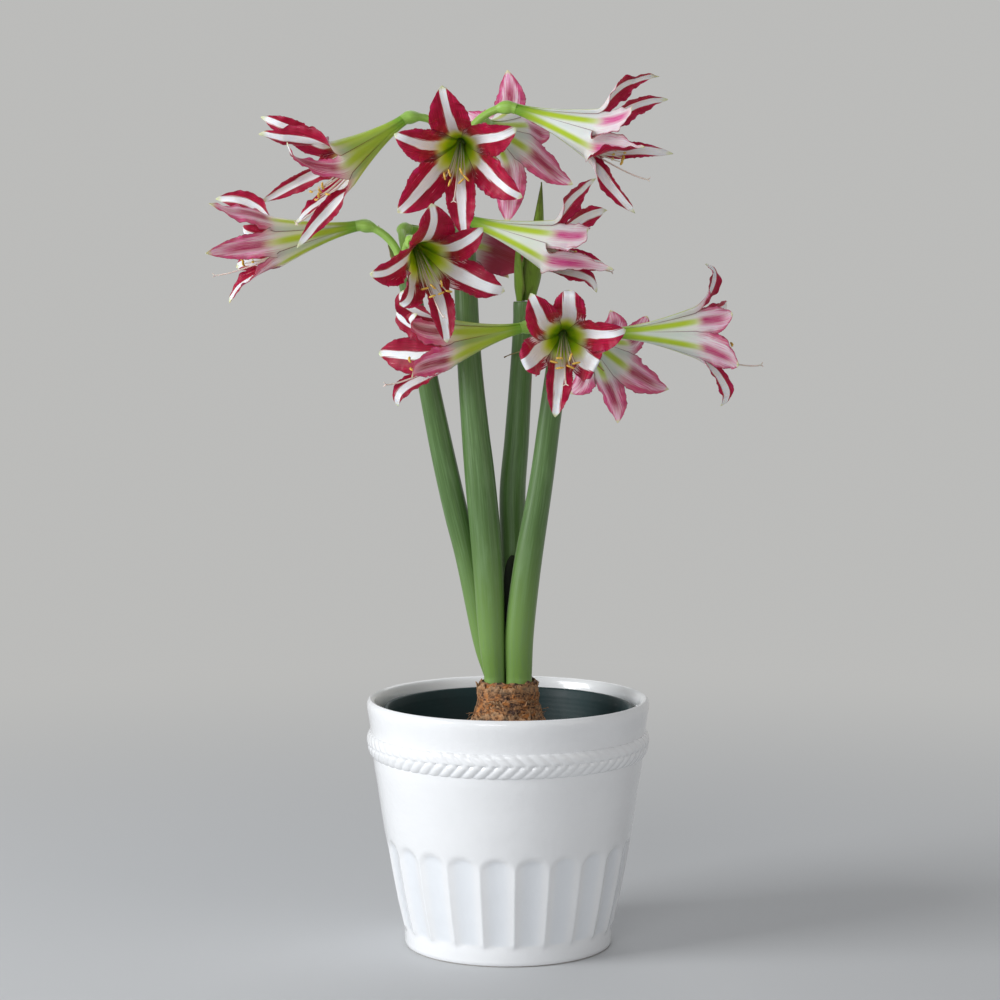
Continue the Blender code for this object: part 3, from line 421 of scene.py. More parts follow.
def round_section(path, across, widths, depths, sides, ridge=0.0, ridges=0):
    """Points and skin of a tube round a path, widths measured near across and depths square to it.

    With the angle a round it, the tube swells by ridge cos(ridges a).
    """
    tangent = unit(np.gradient(path, axis=0))
    side = square_to(tangent, across)
    other = np.cross(tangent, side)
    angle = circle(sides)
    widths, depths = np.broadcast_to(widths, len(path)), np.broadcast_to(depths, len(path))
    swell = 1 + np.reshape(ridge, (-1, 1)) * np.cos(ridges * angle)
    wide = (swell * np.cos(angle))[..., None] * (side * widths[:, None])[:, None]
    deep = (swell * np.sin(angle))[..., None] * (other * depths[:, None])[:, None]
    girth = (widths + depths)[:, None] / 2
    skin = joined(girth * np.cos(angle), girth * np.sin(angle), run_along(path)[:, None])
    return path[:, None] + wide + deep, skin


def turned_section(r, z, angle):
    """Points r(angle) cos, r(angle) sin, z of a profile carried round Z."""
    return joined(r * np.cos(angle), r * np.sin(angle), z)


# --- materials


class Nodes:
    """The node tree of a material or world: each call adds a node and returns its output."""

    def __init__(self, owner):
        owner.use_nodes = True
        self.tree = owner.node_tree

    def put(self, socket, value):
        if isinstance(value, bpy.types.NodeSocket):
            self.tree.links.new(value, socket)
        elif isinstance(value, tuple) and len(value) == 3 and socket.type == "RGBA":
            socket.default_value = (*value, 1.0)
        else:
            socket.default_value = value

    def add(self, kind, sockets, out=0, **settings):
        node = self.tree.nodes.new(kind)
        for label, value in settings.items():
            setattr(node, label, value)
        for socket, value in sockets.items():
            self.put(node.inputs[socket], value)
        return node.outputs[out]

    def math(self, operation, *values):
        return self.add("ShaderNodeMath", dict(enumerate(values)), operation=operation)

    def times(self, first, *others):
        """The product of the values."""
        for other in others:
            first = self.math("MULTIPLY", first, other)
        return first

    def plus(self, a, b, gain):
        """a + gain b"""
        return self.math("ADD", a, self.times(b, gain))

    def line(self, value, gain, start):
        """gain value + start"""
        return self.math("MULTIPLY_ADD", value, gain, start)

    def ease(self, value, low, high, start=0.0, end=1.0):
        """start before low, end after high, smooth between; low may be the greater."""
        if low > high:
            low, high, start, end = high, low, end, start
        labels = ("Value", "From Min", "From Max", "To Min", "To Max")
        sockets = dict(zip(labels, (value, low, high, start, end)))
        return self.add("ShaderNodeMapRange", sockets, interpolation_type="SMOOTHSTEP")

    def mix(self, share, a, b):
        return self.add("ShaderNodeMix", {0: share, 6: a, 7: b}, out=2, data_type="RGBA")

    def layers(self, colour, *rows):
        """colour under tints: each row is (tint, share) or (tint, value, *range of its ease)."""
        for tint, share, *span in rows:
            colour = self.mix(self.ease(share, *span) if span else share, colour, tint)
        return colour

    def split(self, vector):
        node = self.tree.nodes.new("ShaderNodeSeparateXYZ")
        self.put(node.inputs[0], vector)
        return node.outputs

    def vector(self, operation, sockets, out=0):
        return self.add("ShaderNodeVectorMath", sockets, out, operation=operation)

    def shade(self, share, a, b):
        """The output surface: shader a giving way to shader b by share."""
        output = next(node for node in self.tree.nodes if "OUTPUT" in node.type)
        blend = self.add("ShaderNodeMixShader", {0: share, 1: a, 2: b})
        self.put(output.inputs["Surface"], blend)

    def seen_directly(self):
        """1 on camera, glossy and transmission rays, 0 on the rays that carry light."""
        rays = self.tree.nodes.new("ShaderNodeLightPath").outputs
        sharp = self.math("MAXIMUM", rays["Is Camera Ray"], rays["Is Glossy Ray"])
        return self.math("MAXIMUM", sharp, rays["Is Transmission Ray"])


class Paint(Nodes):
    """A material whose Principled shader is given its sockets by name."""

    def __init__(self, name, **sockets):
        self.material = bpy.data.materials.new(name)
        super().__init__(self.material)
        self.shader = self.tree.nodes["Principled BSDF"]
        for label, value in sockets.items():
            label = label.replace("_", " ").title().replace("Ior", "IOR")
            self.shader.inputs[label].default_value = value

    def attribute(self, name):
        return self.add("ShaderNodeAttribute", {}, out=1, attribute_name=name)

    def noise(self, vector, stretch, detail, roughness=0.55):
        """Noise of about 0.5, one feature per 1 / stretch along each axis of the vector."""
        scaled = self.vector("MULTIPLY", {0: vector, 1: stretch})
        sockets = {"Vector": scaled, "Scale": 1.0, "Detail": detail, "Roughness": roughness}
        return self.add("ShaderNodeTexNoise", sockets)

    def object_metres(self):
        return self.add("ShaderNodeTexCoord", {}, out=3)

    def object_mm(self):
        """Object coordinates in millimetres."""
        return self.vector("SCALE", {0: self.object_metres(), "Scale": 1 / MM})

    def bump(self, height, strength, distance):
        sockets = {"Height": height, "Strength": strength, "Distance": distance}
        self.put(self.shader.inputs["Normal"], self.add("ShaderNodeBump", sockets))

    def finish(self, colour, roughness):
        self.put(self.shader.inputs["Base Color"], colour)
        self.put(self.shader.inputs["Roughness"], roughness)
        return self.material


def dimmed(colour, gains):
    """A colour setting with its channels multiplied by the gains."""
    return tuple(np.array(tuple(colour)) * gains)


def glaze_material(settings):
    """White glaze, a little darker and cooler in the flutes, bare buff clay under the foot."""
    paint = Paint("white_glaze", coat_weight=0.35, coat_roughness=0.06)
    place = paint.object_mm()
    hollow = paint.split(paint.attribute("zone"))[0]
    cloud = paint.noise(place, (0.02, 0.02, 0.03), 2)
    fleck = paint.noise(place, (1.1, 1.1, 1.1), 2)
    grit = paint.noise(place, (2.0, 2.0, 2.0), 4)
    under = paint.ease(paint.split(place)[2], 0.9, 0.25)
    colour = paint.layers(
        tuple(settings.glaze),
        (dimmed(settings.glaze, 0.975), cloud, 0.3, 0.75),
        (dimmed(settings.glaze, (0.93, 0.955, 0.985)), hollow, 0.35, 1.0, 0, 0.8),
        ((0.62, 0.58, 0.5), fleck, 0.76, 0.8, 0, 0.5),
        (paint.mix(grit, (0.62, 0.52, 0.42), (0.72, 0.64, 0.54)), under),
    )
    wave = paint.noise(place, (0.09, 0.09, 0.12), 2)
    peel = paint.noise(place, (0.7, 0.7, 0.7), 1)
    paint.bump(paint.plus(wave, peel, 0.12), 0.28, 0.0012)
    return paint.finish(colour, paint.plus(paint.ease(cloud, 0.3, 0.8, 0.13, 0.19), under, 0.6))


def plastic_material():
    """Thin plastic, almost black green, with faint moulding rings and dust near the soil."""
    paint = Paint("nursery_plastic", specular_ior_level=0.25)
    place = paint.object_mm()
    height = paint.split(place)[2]
    dull = paint.noise(place, (0.05, 0.05, 0.02), 4)
    grain = paint.noise(place, (2.2, 2.2, 2.2), 2)
    dust = paint.times(paint.ease(height, 176, 157), paint.ease(grain, 0.45, 0.62), 0.7)
    colour = paint.mix(dull, (0.004, 0.015, 0.017), (0.013, 0.042, 0.045))
    colour = paint.mix(dust, colour, (0.09, 0.06, 0.04))
    ring = paint.math("SINE", paint.times(height, 1.6))
    paint.bump(paint.plus(grain, ring, 0.2), 0.25, 0.0003)
    return paint.finish(colour, paint.ease(dull, 0.3, 0.7, 0.42, 0.56))


def peat_material():
    """Dark peat with lighter fibres and the odd pale grain."""
    paint = Paint("potting_peat")
    place = paint.object_mm()
    crumb = paint.noise(place, (0.35, 0.35, 0.35), 5, 0.65)
    fibre = paint.noise(place, (0.14, 1.1, 0.5), 4, 0.6)
    grain = paint.add("ShaderNodeTexVoronoi", {"Vector": place, "Scale": 0.16, "Randomness": 1.0})
    colour = paint.layers(
        (0.012, 0.008, 0.006),
        ((0.075, 0.045, 0.026), crumb, 0.35, 0.7),
        ((0.2, 0.12, 0.06), fibre, 0.6, 0.74, 0, 0.8),
        ((0.5, 0.46, 0.38), grain, 0.13, 0.09),
    )
    paint.bump(paint.plus(crumb, fibre, 0.5), 0.9, 0.0016)
    return paint.finish(colour, 0.93)


def papery_material(name, dark, pale, warm, freshness=0.0):
    """Dry bulb scale: long brown fibres, orange and tan patches, worn pale edges, and dark brown in
    the hollows of its crumples, partly the scale's own brown and partly painted shade.
    """
    paint = Paint(name)
    skin = paint.attribute("skin")
    along = paint.split(paint.attribute("zone"))[1]
    fibre = paint.noise(skin, (0.34, 0.34, 0.5), 5, 0.62)
    patch = paint.noise(skin, (0.11, 0.11, 0.12), 4, 0.6)
    flake = paint.noise(skin, (0.22, 0.22, 0.36), 5, 0.68)
    colour = paint.layers(
        dark,
        (pale, fibre, 0.38, 0.62),
        (warm, patch, 0.46, 0.66, 0, 0.85),
        ((0.78, 0.50, 0.27), flake, 0.6, 0.7, 0, 0.7),
        # Dark in the hollows of the flake bump: partly the scale's own dark brown, partly painted
        # shade in the crevices.
        (dark, flake, 0.47, 0.36, 0, 0.85),
        ((0.70, 0.46, 0.26), along, 0.82, 1.0, 0, 0.45),
        ((0.55, 0.6, 0.3), patch, 0.66, 0.78, 0, freshness),
    )
    paint.bump(paint.plus(fibre, flake, 1.4), 1.0, 0.0012)
    return paint.finish(colour, paint.ease(flake, 0.3, 0.7, 0.55, 0.8))


def stalk_material(name, low, middle, high, bloom, change):
    """Waxy green stalk: long fine streaks, which skin carries, under a pale bloom.

    low, middle and high are its colours from the foot up, and change is where in mm of height
    low turns into middle.
    """
    paint = Paint(name, specular_ior_level=0.4, coat_weight=0.2, coat_roughness=0.3)
    skin = paint.attribute("skin")
    height = paint.split(paint.object_mm())[2]
    streak = paint.noise(skin, (0.9, 0.9, 0.02), 4, 0.6)
    line = paint.noise(skin, (3.2, 3.2, 0.03), 2)
    cloud = paint.noise(skin, (0.11, 0.11, 0.018), 3)
    colour = paint.layers(
        low,
        (middle, height, *change),
        (high, height, 420, 640, 0, 0.6),
        (bloom, streak, 0.4, 0.7, 0, 0.4),
        (bloom, cloud, 0.5, 0.75, 0, 0.4),
        (low, line, 0.58, 0.72, 0, 0.25),
    )
    paint.bump(paint.math("ADD", streak, line), 0.2, 0.0004)
    return paint.finish(colour, paint.ease(cloud, 0.3, 0.7, 0.34, 0.46))


def blade_material(name, base, vein, edge, roughness):
    """Leaf, spathe or bract: veins along the blade, and coloured edges and tip."""
    paint = Paint(name, specular_ior_level=0.25)
    skin = paint.attribute("skin")
    across, along, _ = paint.split(paint.attribute("zone"))
    line = paint.noise(skin, (2.4, 0.05, 1.0), 4, 0.6)
    blotch = paint.noise(skin, (0.25, 0.08, 1.0), 3)
    colour = paint.layers(
        base,
        (vein, line, 0.38, 0.66),
        (edge, blotch, 0.5, 0.72, 0, 0.5),
        (edge, paint.math("ABSOLUTE", across), 0.72, 1.0, 0, 0.7),
        (edge, along, 0.7, 1.0, 0, 0.8),
    )
    paint.bump(line, 0.35, 0.0004)
    return paint.finish(colour, roughness)


def tepal_face(paint, white, crimson, veins, place, pale, deep_red_and_shade):
    """The inside's colour: green throat, white feathered stripe and crimson veined sides."""
    vein, streak, hair, cloud = veins
    edge, along, off_middle = place
    deep = dimmed(crimson, (0.42, 0.2, 0.3))
    flesh = paint.layers(
        deep,
        (tuple(crimson), vein, 0.35, 0.66),
        (deep, cloud, 0.42, 0.66, 0, 0.6),
        # Darker red with the flower's depth setting: partly its own deeper red, partly painted
        # shade.
        (deep, deep_red_and_shade, 0, 1, 0, 0.75),
        ((0.62, 0.04, 0.14), hair, 0.62, 0.78, 0, 0.25),
    )
    milk = paint.mix(paint.ease(hair, 0.45, 0.7), tuple(white), dimmed(white, 0.86))
    reach = paint.plus(paint.ease(along, 0.2, 1.0, 3.9, 2.4), paint.math("POWER", pale, 2.0), 2.2)
    ragged = paint.line(paint.math("SUBTRACT", streak, 0.5), 4.5, off_middle)
    stripe = paint.ease(paint.math("SUBTRACT", ragged, reach), 0.45, -0.45)
    lateral = paint.times(paint.ease(along, 0.35, -0.1), paint.ease(edge, 0.3, 0.75),
                          paint.line(pale, 0.9, 0.35))
    feather = paint.ease(paint.line(lateral, 0.32, vein), 0.66, 0.74)
    star = paint.line(edge, 0.16, along)
    rays = paint.times(paint.ease(along, -0.28, -0.55), paint.ease(vein, 0.75, 0.35, 0.5, 1.0))
    return paint.layers(
        flesh,
        ((0.8, 0.62, 0.66), paint.times(feather, 0.85)),
        (milk, stripe),
        ((0.80, 0.86, 0.34), star, 0.08, -0.2),
        ((0.62, 0.82, 0.03), star, -0.1, -0.34),
        ((0.26, 0.56, 0.012), rays),
    )


def tepal_back(paint, veins, place, limy, deep_red_and_shade):
    """The outside's colour: white panels and a yellow-green midrib that turns rose in the flare."""
    vein, streak, _, _ = veins
    edge, along, off_middle = place
    pink = paint.times(paint.ease(along, -0.3, 0.6), paint.ease(streak, 0.3, 0.7, 0.3, 1.0),
                       paint.line(deep_red_and_shade, 0.8, 0.85))
    lines = paint.times(paint.ease(vein, 0.48, 0.68), paint.ease(along, -0.1, 0.35, 0.04, 0.7),
                        paint.line(deep_red_and_shade, 0.7, 0.9))
    frayed = paint.line(paint.math("SUBTRACT", vein, 0.5), 0.9, edge)
    frayed = paint.line(deep_red_and_shade, 0.5, frayed)
    margin = paint.times(paint.ease(frayed, 0.55, 0.9), paint.ease(along, -0.1, 0.4), 0.9)
    # Painted shade: the outside of a flower that stands in deep shade turns dark red-brown.
    painted_shade = paint.times(paint.ease(deep_red_and_shade, 0.6, 1.0, 0, 0.85), paint.ease(along, -0.2, 0.4))
    blush = paint.times(paint.ease(off_middle, 6.5, 1.0), paint.ease(along, 0.0, 0.3),
                        paint.ease(along, 0.98, 0.6), paint.ease(vein, 0.25, 0.6, 0.5, 1.0))
    # The rose of the flare darkens with the depth setting: partly its own deeper red, partly
    # painted shade.
    rosy = paint.mix(paint.math("ADD", deep_red_and_shade, 0.5), (0.70, 0.04, 0.27), (0.24, 0.008, 0.028))
    rib = paint.times(paint.ease(off_middle, 4.2, 1.0), paint.ease(along, 0.3, -0.15))
    lime = paint.mix(paint.ease(along, -0.7, -1.0), (0.36, 0.50, 0.04), (0.20, 0.40, 0.04))
    flush = paint.times(limy, paint.ease(along, 0.25, -0.25))
    return paint.layers(
        (0.95, 0.96, 0.86),
        ((0.90, 0.34, 0.58), pink),
        ((0.66, 0.02, 0.22), lines),
        ((0.56, 0.006, 0.14), margin),
        ((0.24, 0.012, 0.035), painted_shade),
        (rosy, blush),
        ((0.50, 0.66, 0.04), rib),
        (lime, paint.math("MAXIMUM", flush, paint.ease(along, -0.5, -0.92))),
    )


def tepal_material(settings):
    """Striped tepals, with thin dark edges and a pale point.

    zone is (across -1 to 1, along -1 foot to 0 mouth to 1 tip, 0 outside 1 inside), and tone is
    the flower's (pale, lime, depth of red), the last partly its own deeper red and partly painted
    shade on the flowers that stand in shade.
    """
    paint = Paint("striped_tepal", specular_ior_level=0.25, subsurface_weight=0.5,
                  subsurface_scale=0.003, subsurface_radius=(1.0, 0.7, 0.5))
    skin = paint.attribute("skin")
    across, along, inside = paint.split(paint.attribute("zone"))
    pale, limy, deep_red_and_shade = paint.split(paint.attribute("tone"))
    edge = paint.math("ABSOLUTE", across)
    off_middle = paint.math("ABSOLUTE", paint.split(skin)[0])
    vein = paint.noise(skin, (1.9, 0.05, 1.0), 4, 0.62)
    streak = paint.noise(skin, (0.75, 0.028, 1.0), 4, 0.65)
    hair = paint.noise(skin, (4.5, 0.07, 1.0), 2)
    cloud = paint.noise(skin, (0.1, 0.05, 1.0), 2)
    veins, place = (vein, streak, hair, cloud), (edge, along, off_middle)
    face = tepal_face(paint, settings.white, settings.crimson, veins, place, pale, deep_red_and_shade)
    back = tepal_back(paint, veins, place, limy, deep_red_and_shade)
    rim = paint.times(paint.ease(edge, 0.93, 0.985), paint.ease(along, -0.75, -0.35, 0.0, 0.8))
    point = paint.times(paint.ease(along, 0.925, 0.99), 0.9)
    dark, tip = (0.16, 0.006, 0.018), (0.66, 0.70, 0.36)
    colour = paint.layers(back, (face, inside), (dark, rim), (tip, point))
    paint.bump(paint.plus(vein, hair, 0.5), 0.4, 0.0005)
    return paint.finish(colour, paint.ease(cloud, 0.3, 0.7, 0.36, 0.48))


FILAMENT, ANTHER, STYLE = 0, 1, 2


def stamen_material():
    """zone's middle value picks the part: filament, anther or style. skin's last is its height."""
    paint = Paint("stamen_parts", subsurface_weight=0.1, subsurface_scale=0.002)
    kind = paint.split(paint.attribute("zone"))[1]
    height = paint.split(paint.attribute("skin"))[2]
    dust = paint.noise(paint.object_mm(), (1.6, 1.6, 1.6), 3)
    thread = paint.mix(paint.ease(height, 8, 45), (0.42, 0.52, 0.12), (0.78, 0.70, 0.58))
    pollen = paint.mix(paint.ease(dust, 0.4, 0.62), (0.55, 0.30, 0.03), (0.85, 0.60, 0.12))
    colour = paint.layers(thread, (pollen, kind, 0.4, 0.6), ((0.80, 0.68, 0.60), kind, 1.4, 1.6))
    paint.bump(dust, 0.5, 0.0003)
    return paint.finish(colour, 0.5)


def floor_material(settings):
    """Pale ground: shaded near the pot, fading with distance into the plain backdrop colour."""
    paint = Paint("pale_ground")
    place = paint.object_metres()
    cloud = paint.noise(place, (3.0, 3.0, 3.0), 3)
    paint.finish(paint.mix(cloud, tuple(settings.ground), dimmed(settings.ground, 0.985)), 0.85)
    flat = paint.vector("MULTIPLY", {0: place, 1: (1.0, 1.0, 0.0)})
    away = paint.vector("LENGTH", {0: flat}, out=1)
    share = paint.times(paint.ease(away, 0.3, 1.5), paint.seen_directly())
    plain = paint.add("ShaderNodeEmission", {"Color": tuple(settings.backdrop)})
    paint.shade(share, paint.shader.outputs[0], plain)
    return paint.material


# --- pot and soil


def flute_depth(z, angle, depth):
    """depth x (2a - a^2) below arched heads, a running 0 at a ridge to 1 midway between two."""
    turn = (angle - FLUTE_START) * FLUTES / TURN
    across = 2 * np.abs(turn - np.floor(turn + 0.5))
    head = FLUTE_HEAD - FLUTE_ARCH * (1 - np.sqrt(1 - (1 - across) ** 2))
    rise = ease(z, head + 1, head - 5) * ease(z, FLUTE_FOOT - 1, FLUTE_FOOT + 3)
    return depth * (2 * across - across**2) * rise


def pot_shape(settings):
    """The measured wall profile carried round Z, with flutes pressed into its lower half."""
    wall = [
        (2, 0), (FOOT_RADIUS - 2.5, 0), (FOOT_RADIUS - 0.8, 0.5), (FOOT_RADIUS, 1.8),
        (FOOT_RADIUS, 11), (84.0, 13.4), (84.2, 14.6), (86.4, 18), (88.2, 26), (91.4, 40),
        (95.6, 62), (98.6, 80), (100.4, 91), (103.4, 110), (106.2, 130), (109.2, 149), (109.9, 156),
        (111.4, 166), (112.2, 177), (112.9, 184), (113.9, 190), (114.8, 195), (RIM_RADIUS, 199),
        (114.7, 201.2), (113.7, 202.7), (112.3, POT_HEIGHT), (110.6, 203.1), (109.2, 202.1),
        (108.2, 200), (107.6, 196), (105.5, 184),
    ]
    well = [wall[-1], (101, 150), (92, 90), (80, 22), (77, FLOOR_TOP + 2), (74, FLOOR_TOP),
            (2, FLOOR_TOP)]
    wall_r, wall_z = along_profile(wall, 128)
    well_r, well_z = along_profile(well, 18)
    r, z = np.r_[wall_r, well_r[1:]][:, None], np.r_[wall_z, well_z[1:]][:, None]
    angle = FLUTE_START + circle(FLUTES * FLUTE_STEPS)
    outside = np.arange(len(r))[:, None] < 100
    sink = np.where(outside, flute_depth(z, angle, settings.flute_depth / MM), 0)
    drift = 0.25 * np.sin(2 * angle + 0.6) * ease(z, 20, 190) * outside
    points = turned_section(r - sink + drift, z, angle)
    return Shape().tube(points, joined(sink / FLUTE_DEPTH, z / POT_HEIGHT, 0), points)


def rope_shape(settings):
    """Two rows of slanted strands meeting in a chevron round the wall.

    With w from -1 to 1 over the band's height, it swells by proud x (1 - w^2)^0.4, less up to
    0.42 of that in the valleys between strands and 0.16 at the seam between the rows.
    """
    angle = circle(ROPE_TWISTS * ROPE_STEPS)
    w = np.sin(np.linspace(-1, 1, ROPE_ROWS) * math.pi / 2)[:, None]
    upper = w > 0
    strand = ROPE_TWISTS * angle / TURN + 0.95 * np.abs(w) ** 1.15 + np.where(upper, 0.5, 0)
    lobe = np.abs(np.sin(math.pi * strand)) ** 0.62
    soft = np.where(upper, 0.62, 1.0) * (0.8 + 0.2 * np.sin(angle * 3 + 1))
    seam = 0.16 * np.exp(-((w / 0.1) ** 2))
    proud = settings.rope_proud / MM * np.sqrt(1 - w**2) ** 0.8
    proud = proud * (1 - 0.42 * soft * (1 - lobe) - seam)
    scallop = 0.9 * lobe * np.abs(w) ** 6 * np.sign(w) * soft
    wall = ROPE_WALL + 1.25 * w
    z = ROPE_MIDDLE + (ROPE_HALF - 1.1) * w + scallop
    ends = slice(None, None, 1 - ROPE_ROWS)
    back = turned_section(wall[ends] - 1.2, (ROPE_MIDDLE + (ROPE_HALF - 2) * w)[ends], angle)
    points = np.concatenate([turned_section(wall + proud, z, angle), back])
    valley = np.concatenate([0.9 * soft * (1 - lobe), np.zeros((2, len(angle)))])
    return Shape().loop(points, joined(valley, 0, 0), points)


def liner_shape():
    """The nursery pot's wall carried round Z, with a hole amid its floor and six round that.

    Each of the six is a patch of grid |a|, |b| <= 1, drawn in to a disc: a sqrt(1 - b^2 / 2),
    b sqrt(1 - a^2 / 2). half is half its columns, and its rows are those of the floor's five
    middle radii, first from below and then from above.
    """
    count, half, foot, thick = 288, 6, FLOOR_TOP + 0.3, 2.2
    pitch = count // HOLES
    floor = [18, 30, *(HOLE_RING + HOLE_RADIUS * b for b in (-1, -0.5, 0, 0.5, 1)), 61]
    below, above = slice(2, 7), slice(-7, -2)
    wall = [(70.7, foot), (71.8, foot + 0.5), (72.2, foot + 1.5), (97.3, 184), (100.3, 186),
            (101, 190), (101, 195.4), (100.6, 196), (99.4, 196.2), (98.2, 195.9), (97.6, 195),
            (96.3, 188), (70.3, foot + 4), (68.6, foot + thick)]
    r, z = np.array([(x, foot) for x in floor] + wall + [(x, foot + thick) for x in floor[::-1]]).T
    a = (np.arange(count) + half) % pitch / half - 1
    b = ((r - HOLE_RING) / HOLE_RADIUS)[:, None]
    inside = (np.abs(b) <= 1) & (a <= 1)
    drawn = np.where(inside, a * (np.sqrt(1 - np.clip(b, -1, 1) ** 2 / 2) - 1), 0)
    angle = (np.arange(count) + 3 + half * drawn) * TURN / count
    disc = HOLE_RING + HOLE_RADIUS * b * np.sqrt(1 - np.clip(a, -1, 1) ** 2 / 2)
    points = turned_section(np.where(inside, disc, r[:, None]), z[:, None], angle)
    shape = Shape().loop(points, 0, points)
    patch = inside & np.roll(inside, -1, 0) & np.roll(inside, -1, 1)
    shape.quads[-1] = shape.quads[-1][~patch.ravel()]
    index = np.arange(inside.size).reshape(inside.shape)
    for i in range(HOLES):
        hole = index[:, (np.arange(-half, half + 1) + i * pitch) % count]
        shape.wall(border(hole[above][::-1]), border(hole[below]))
    return shape


def soil_shape():
    """The mound r, z of the soil carried round Z, its top raised by ripples of 3.5 to 38 mm."""
    top_r, top_z = along_profile([(91.0, 153.8), (84, 155), (68, 156), (54, 156), (41, 156.5)], 44)
    r = np.r_[2.0, 66.6, 69.5, 80, 91.0, top_r[1:], 55.6, 58.6, 55.6, 44.6, 16.6, 2]
    z = np.r_[10.8, 10.8, 15.2, 80, 152.5, top_z[1:], 128, 110, 96, 81.7, BULB_FOOT - 0.3,
              BULB_FOOT - 0.3]
    points = turned_section(r[:, None], z[:, None], circle(240))
    row = np.arange(len(r))
    inward = np.where((row > 3) & (row < 47), ease(r, 43.0, 50.0) * ease(r, 91.5, 88.0), 0)
    lumps = 1.1 * ripple(points, 38, 3, 3) + 0.55 * ripple(points, 7, 4, 2)
    points[..., 2] += lumps * inward[:, None]
    return Shape().tube(points, 0, points)


# --- bulb


BULB_PROFILE = [
    (2, BULB_FOOT), (16, BULB_FOOT), (24, BULB_FOOT + 5), (44, BULB_FOOT + 14),
    (55, BULB_FOOT + 28), (58, BULB_FOOT + 42), (55, BULB_FOOT + 60), (46, BULB_FOOT + 78),
    (36, BULB_FOOT + 96), (29.5, BULB_FOOT + 112), (26, BULB_FOOT + 121), (23.5, BULB_FOOT + 130),
    (NECK_RADIUS, NECK_TOP - 1),
]


def bulb_radius(z):
    """Radius of the bulb at height z."""
    r, h = np.array(BULB_PROFILE[1:]).T
    return np.interp(z, h, r)


def bulb_shape():
    """The bulb's profile carried round Z, grooved by old scales, with a ragged hollow top."""
    angle = circle(144)
    recess = NECK_TOP - NECK_RECESS
    side_r, side_z = along_profile(BULB_PROFILE, 84)
    r = np.r_[side_r, NECK_RADIUS - 0.5, NECK_RADIUS - 1.1, NECK_RADIUS - 1.4, 12, 2][:, None]
    z = np.r_[side_z, NECK_TOP - 0.2, NECK_TOP - 0.4, recess, recess, recess][:, None]
    points = turned_section(r, z, angle)
    bare = ease(z, SCALE_FOOT, 165) * ease(r, 20, 22.5)
    groove = 0.35 * np.sin(19 * angle + 2 * np.sin(3 * angle)) + 0.22 * ripple(points, 9, 8, 3)
    points[..., :2] *= (1 + (groove - 0.5) * bare / np.maximum(r, 20))[..., None]
    ragged = 0.9 * ripple(points, 11, 9, 2) - 0.8
    points[..., 2] += ease(z, NECK_TOP - 3, NECK_TOP - 0.5) * ragged
    zone = joined(0, 0.7 * ease(z, SCALE_FOOT, NECK_TOP), 0)
    return Shape().tube(points, zone, turned_section(20, z, angle))


def sleeve_shape(low, high, gap, skirt, tear, seed):
    """A wrapped scale: two skins 0.5 apart at r(z) + gap, widening by skirt towards its foot.

    Nearly level creases stand 0.55 |ripple| out, and both edges are torn by random notches.
    """
    rng = np.random.default_rng(seed)
    angle = circle(216)
    notch = np.interp(angle, np.sort(rng.uniform(0, TURN, 46)), rng.uniform(0, 1, 46), period=TURN)
    fray = rng.uniform(0, 0.25, len(angle))
    s = np.linspace(0, 1, 18)[:, None]
    top = high - tear * (notch + fray) ** 1.5
    foot = low + 0.6 * tear * (1 - notch)
    z = foot + (top - foot) * s
    curl = 1.1 * s**5 * np.clip(np.sin(7 * angle + seed) + 0.4, 0, 1)
    wave = 0.3 * np.sin(23 * angle + 3 * s) * s
    r = bulb_radius(z) + gap + curl + skirt * ease(z, 190, 172) + wave
    r = r + 0.55 * np.abs(ripple(turned_section(10, z * 2.6, angle), 10, seed, 3))
    outer, inner = turned_section(r + 0.5, z, angle), turned_section(r, z, angle)
    outer[..., :2] *= (1 + 0.006 * ripple(outer, 12, seed + 1, 3))[..., None]
    zone, skin = joined(0, s, 0), turned_section(22, z, angle)
    both = [np.concatenate([a, b[::-1]]) for a, b in ((outer, inner), (zone, zone), (skin, skin))]
    return Shape().loop(*both)


def flake_shape(count, seed):
    """Small torn scales round the neck: curved patches whose upper edge curls away as s^3."""
    rng = np.random.default_rng(seed)
    shape = Shape()
    s, v = np.linspace(0, 1, 11)[:, None], np.linspace(-1, 1, 15)
    for _ in range(count):
        at, low = rng.uniform(0, 360), rng.uniform(166, 208)
        tall, wide = rng.uniform(6, 15), rng.uniform(10, 36)
        tall = min(tall, NECK_TOP - 1 - low)
        ragged = rng.uniform(0, 1, len(v)) * 0.35
        z = low + tall * s * (1 - ragged * s) * (1 - 0.35 * v**2)
        angle = np.radians(at + v * wide * (1 - 0.25 * s) + rng.uniform(-8, 8) * s)
        curl = rng.uniform(0.1, 2.0) * s**3 * (1 - 0.6 * ease(low, 180, 205))
        lift = 0.9 + curl + 3.5 * ease(z, 188, 172)
        r = bulb_radius(z) + (lift + 0.3 * np.abs(ripple(joined(z, 9 * v, at), 6, 5, 2)))
        skin = turned_section(22, z * 1.4 + at, angle)
        zone = joined(v, 0.6 + 0.4 * s, 0)
        shape.sheet(turned_section(r + 0.35, z, angle), turned_section(r, z, angle), zone, skin)
    return shape


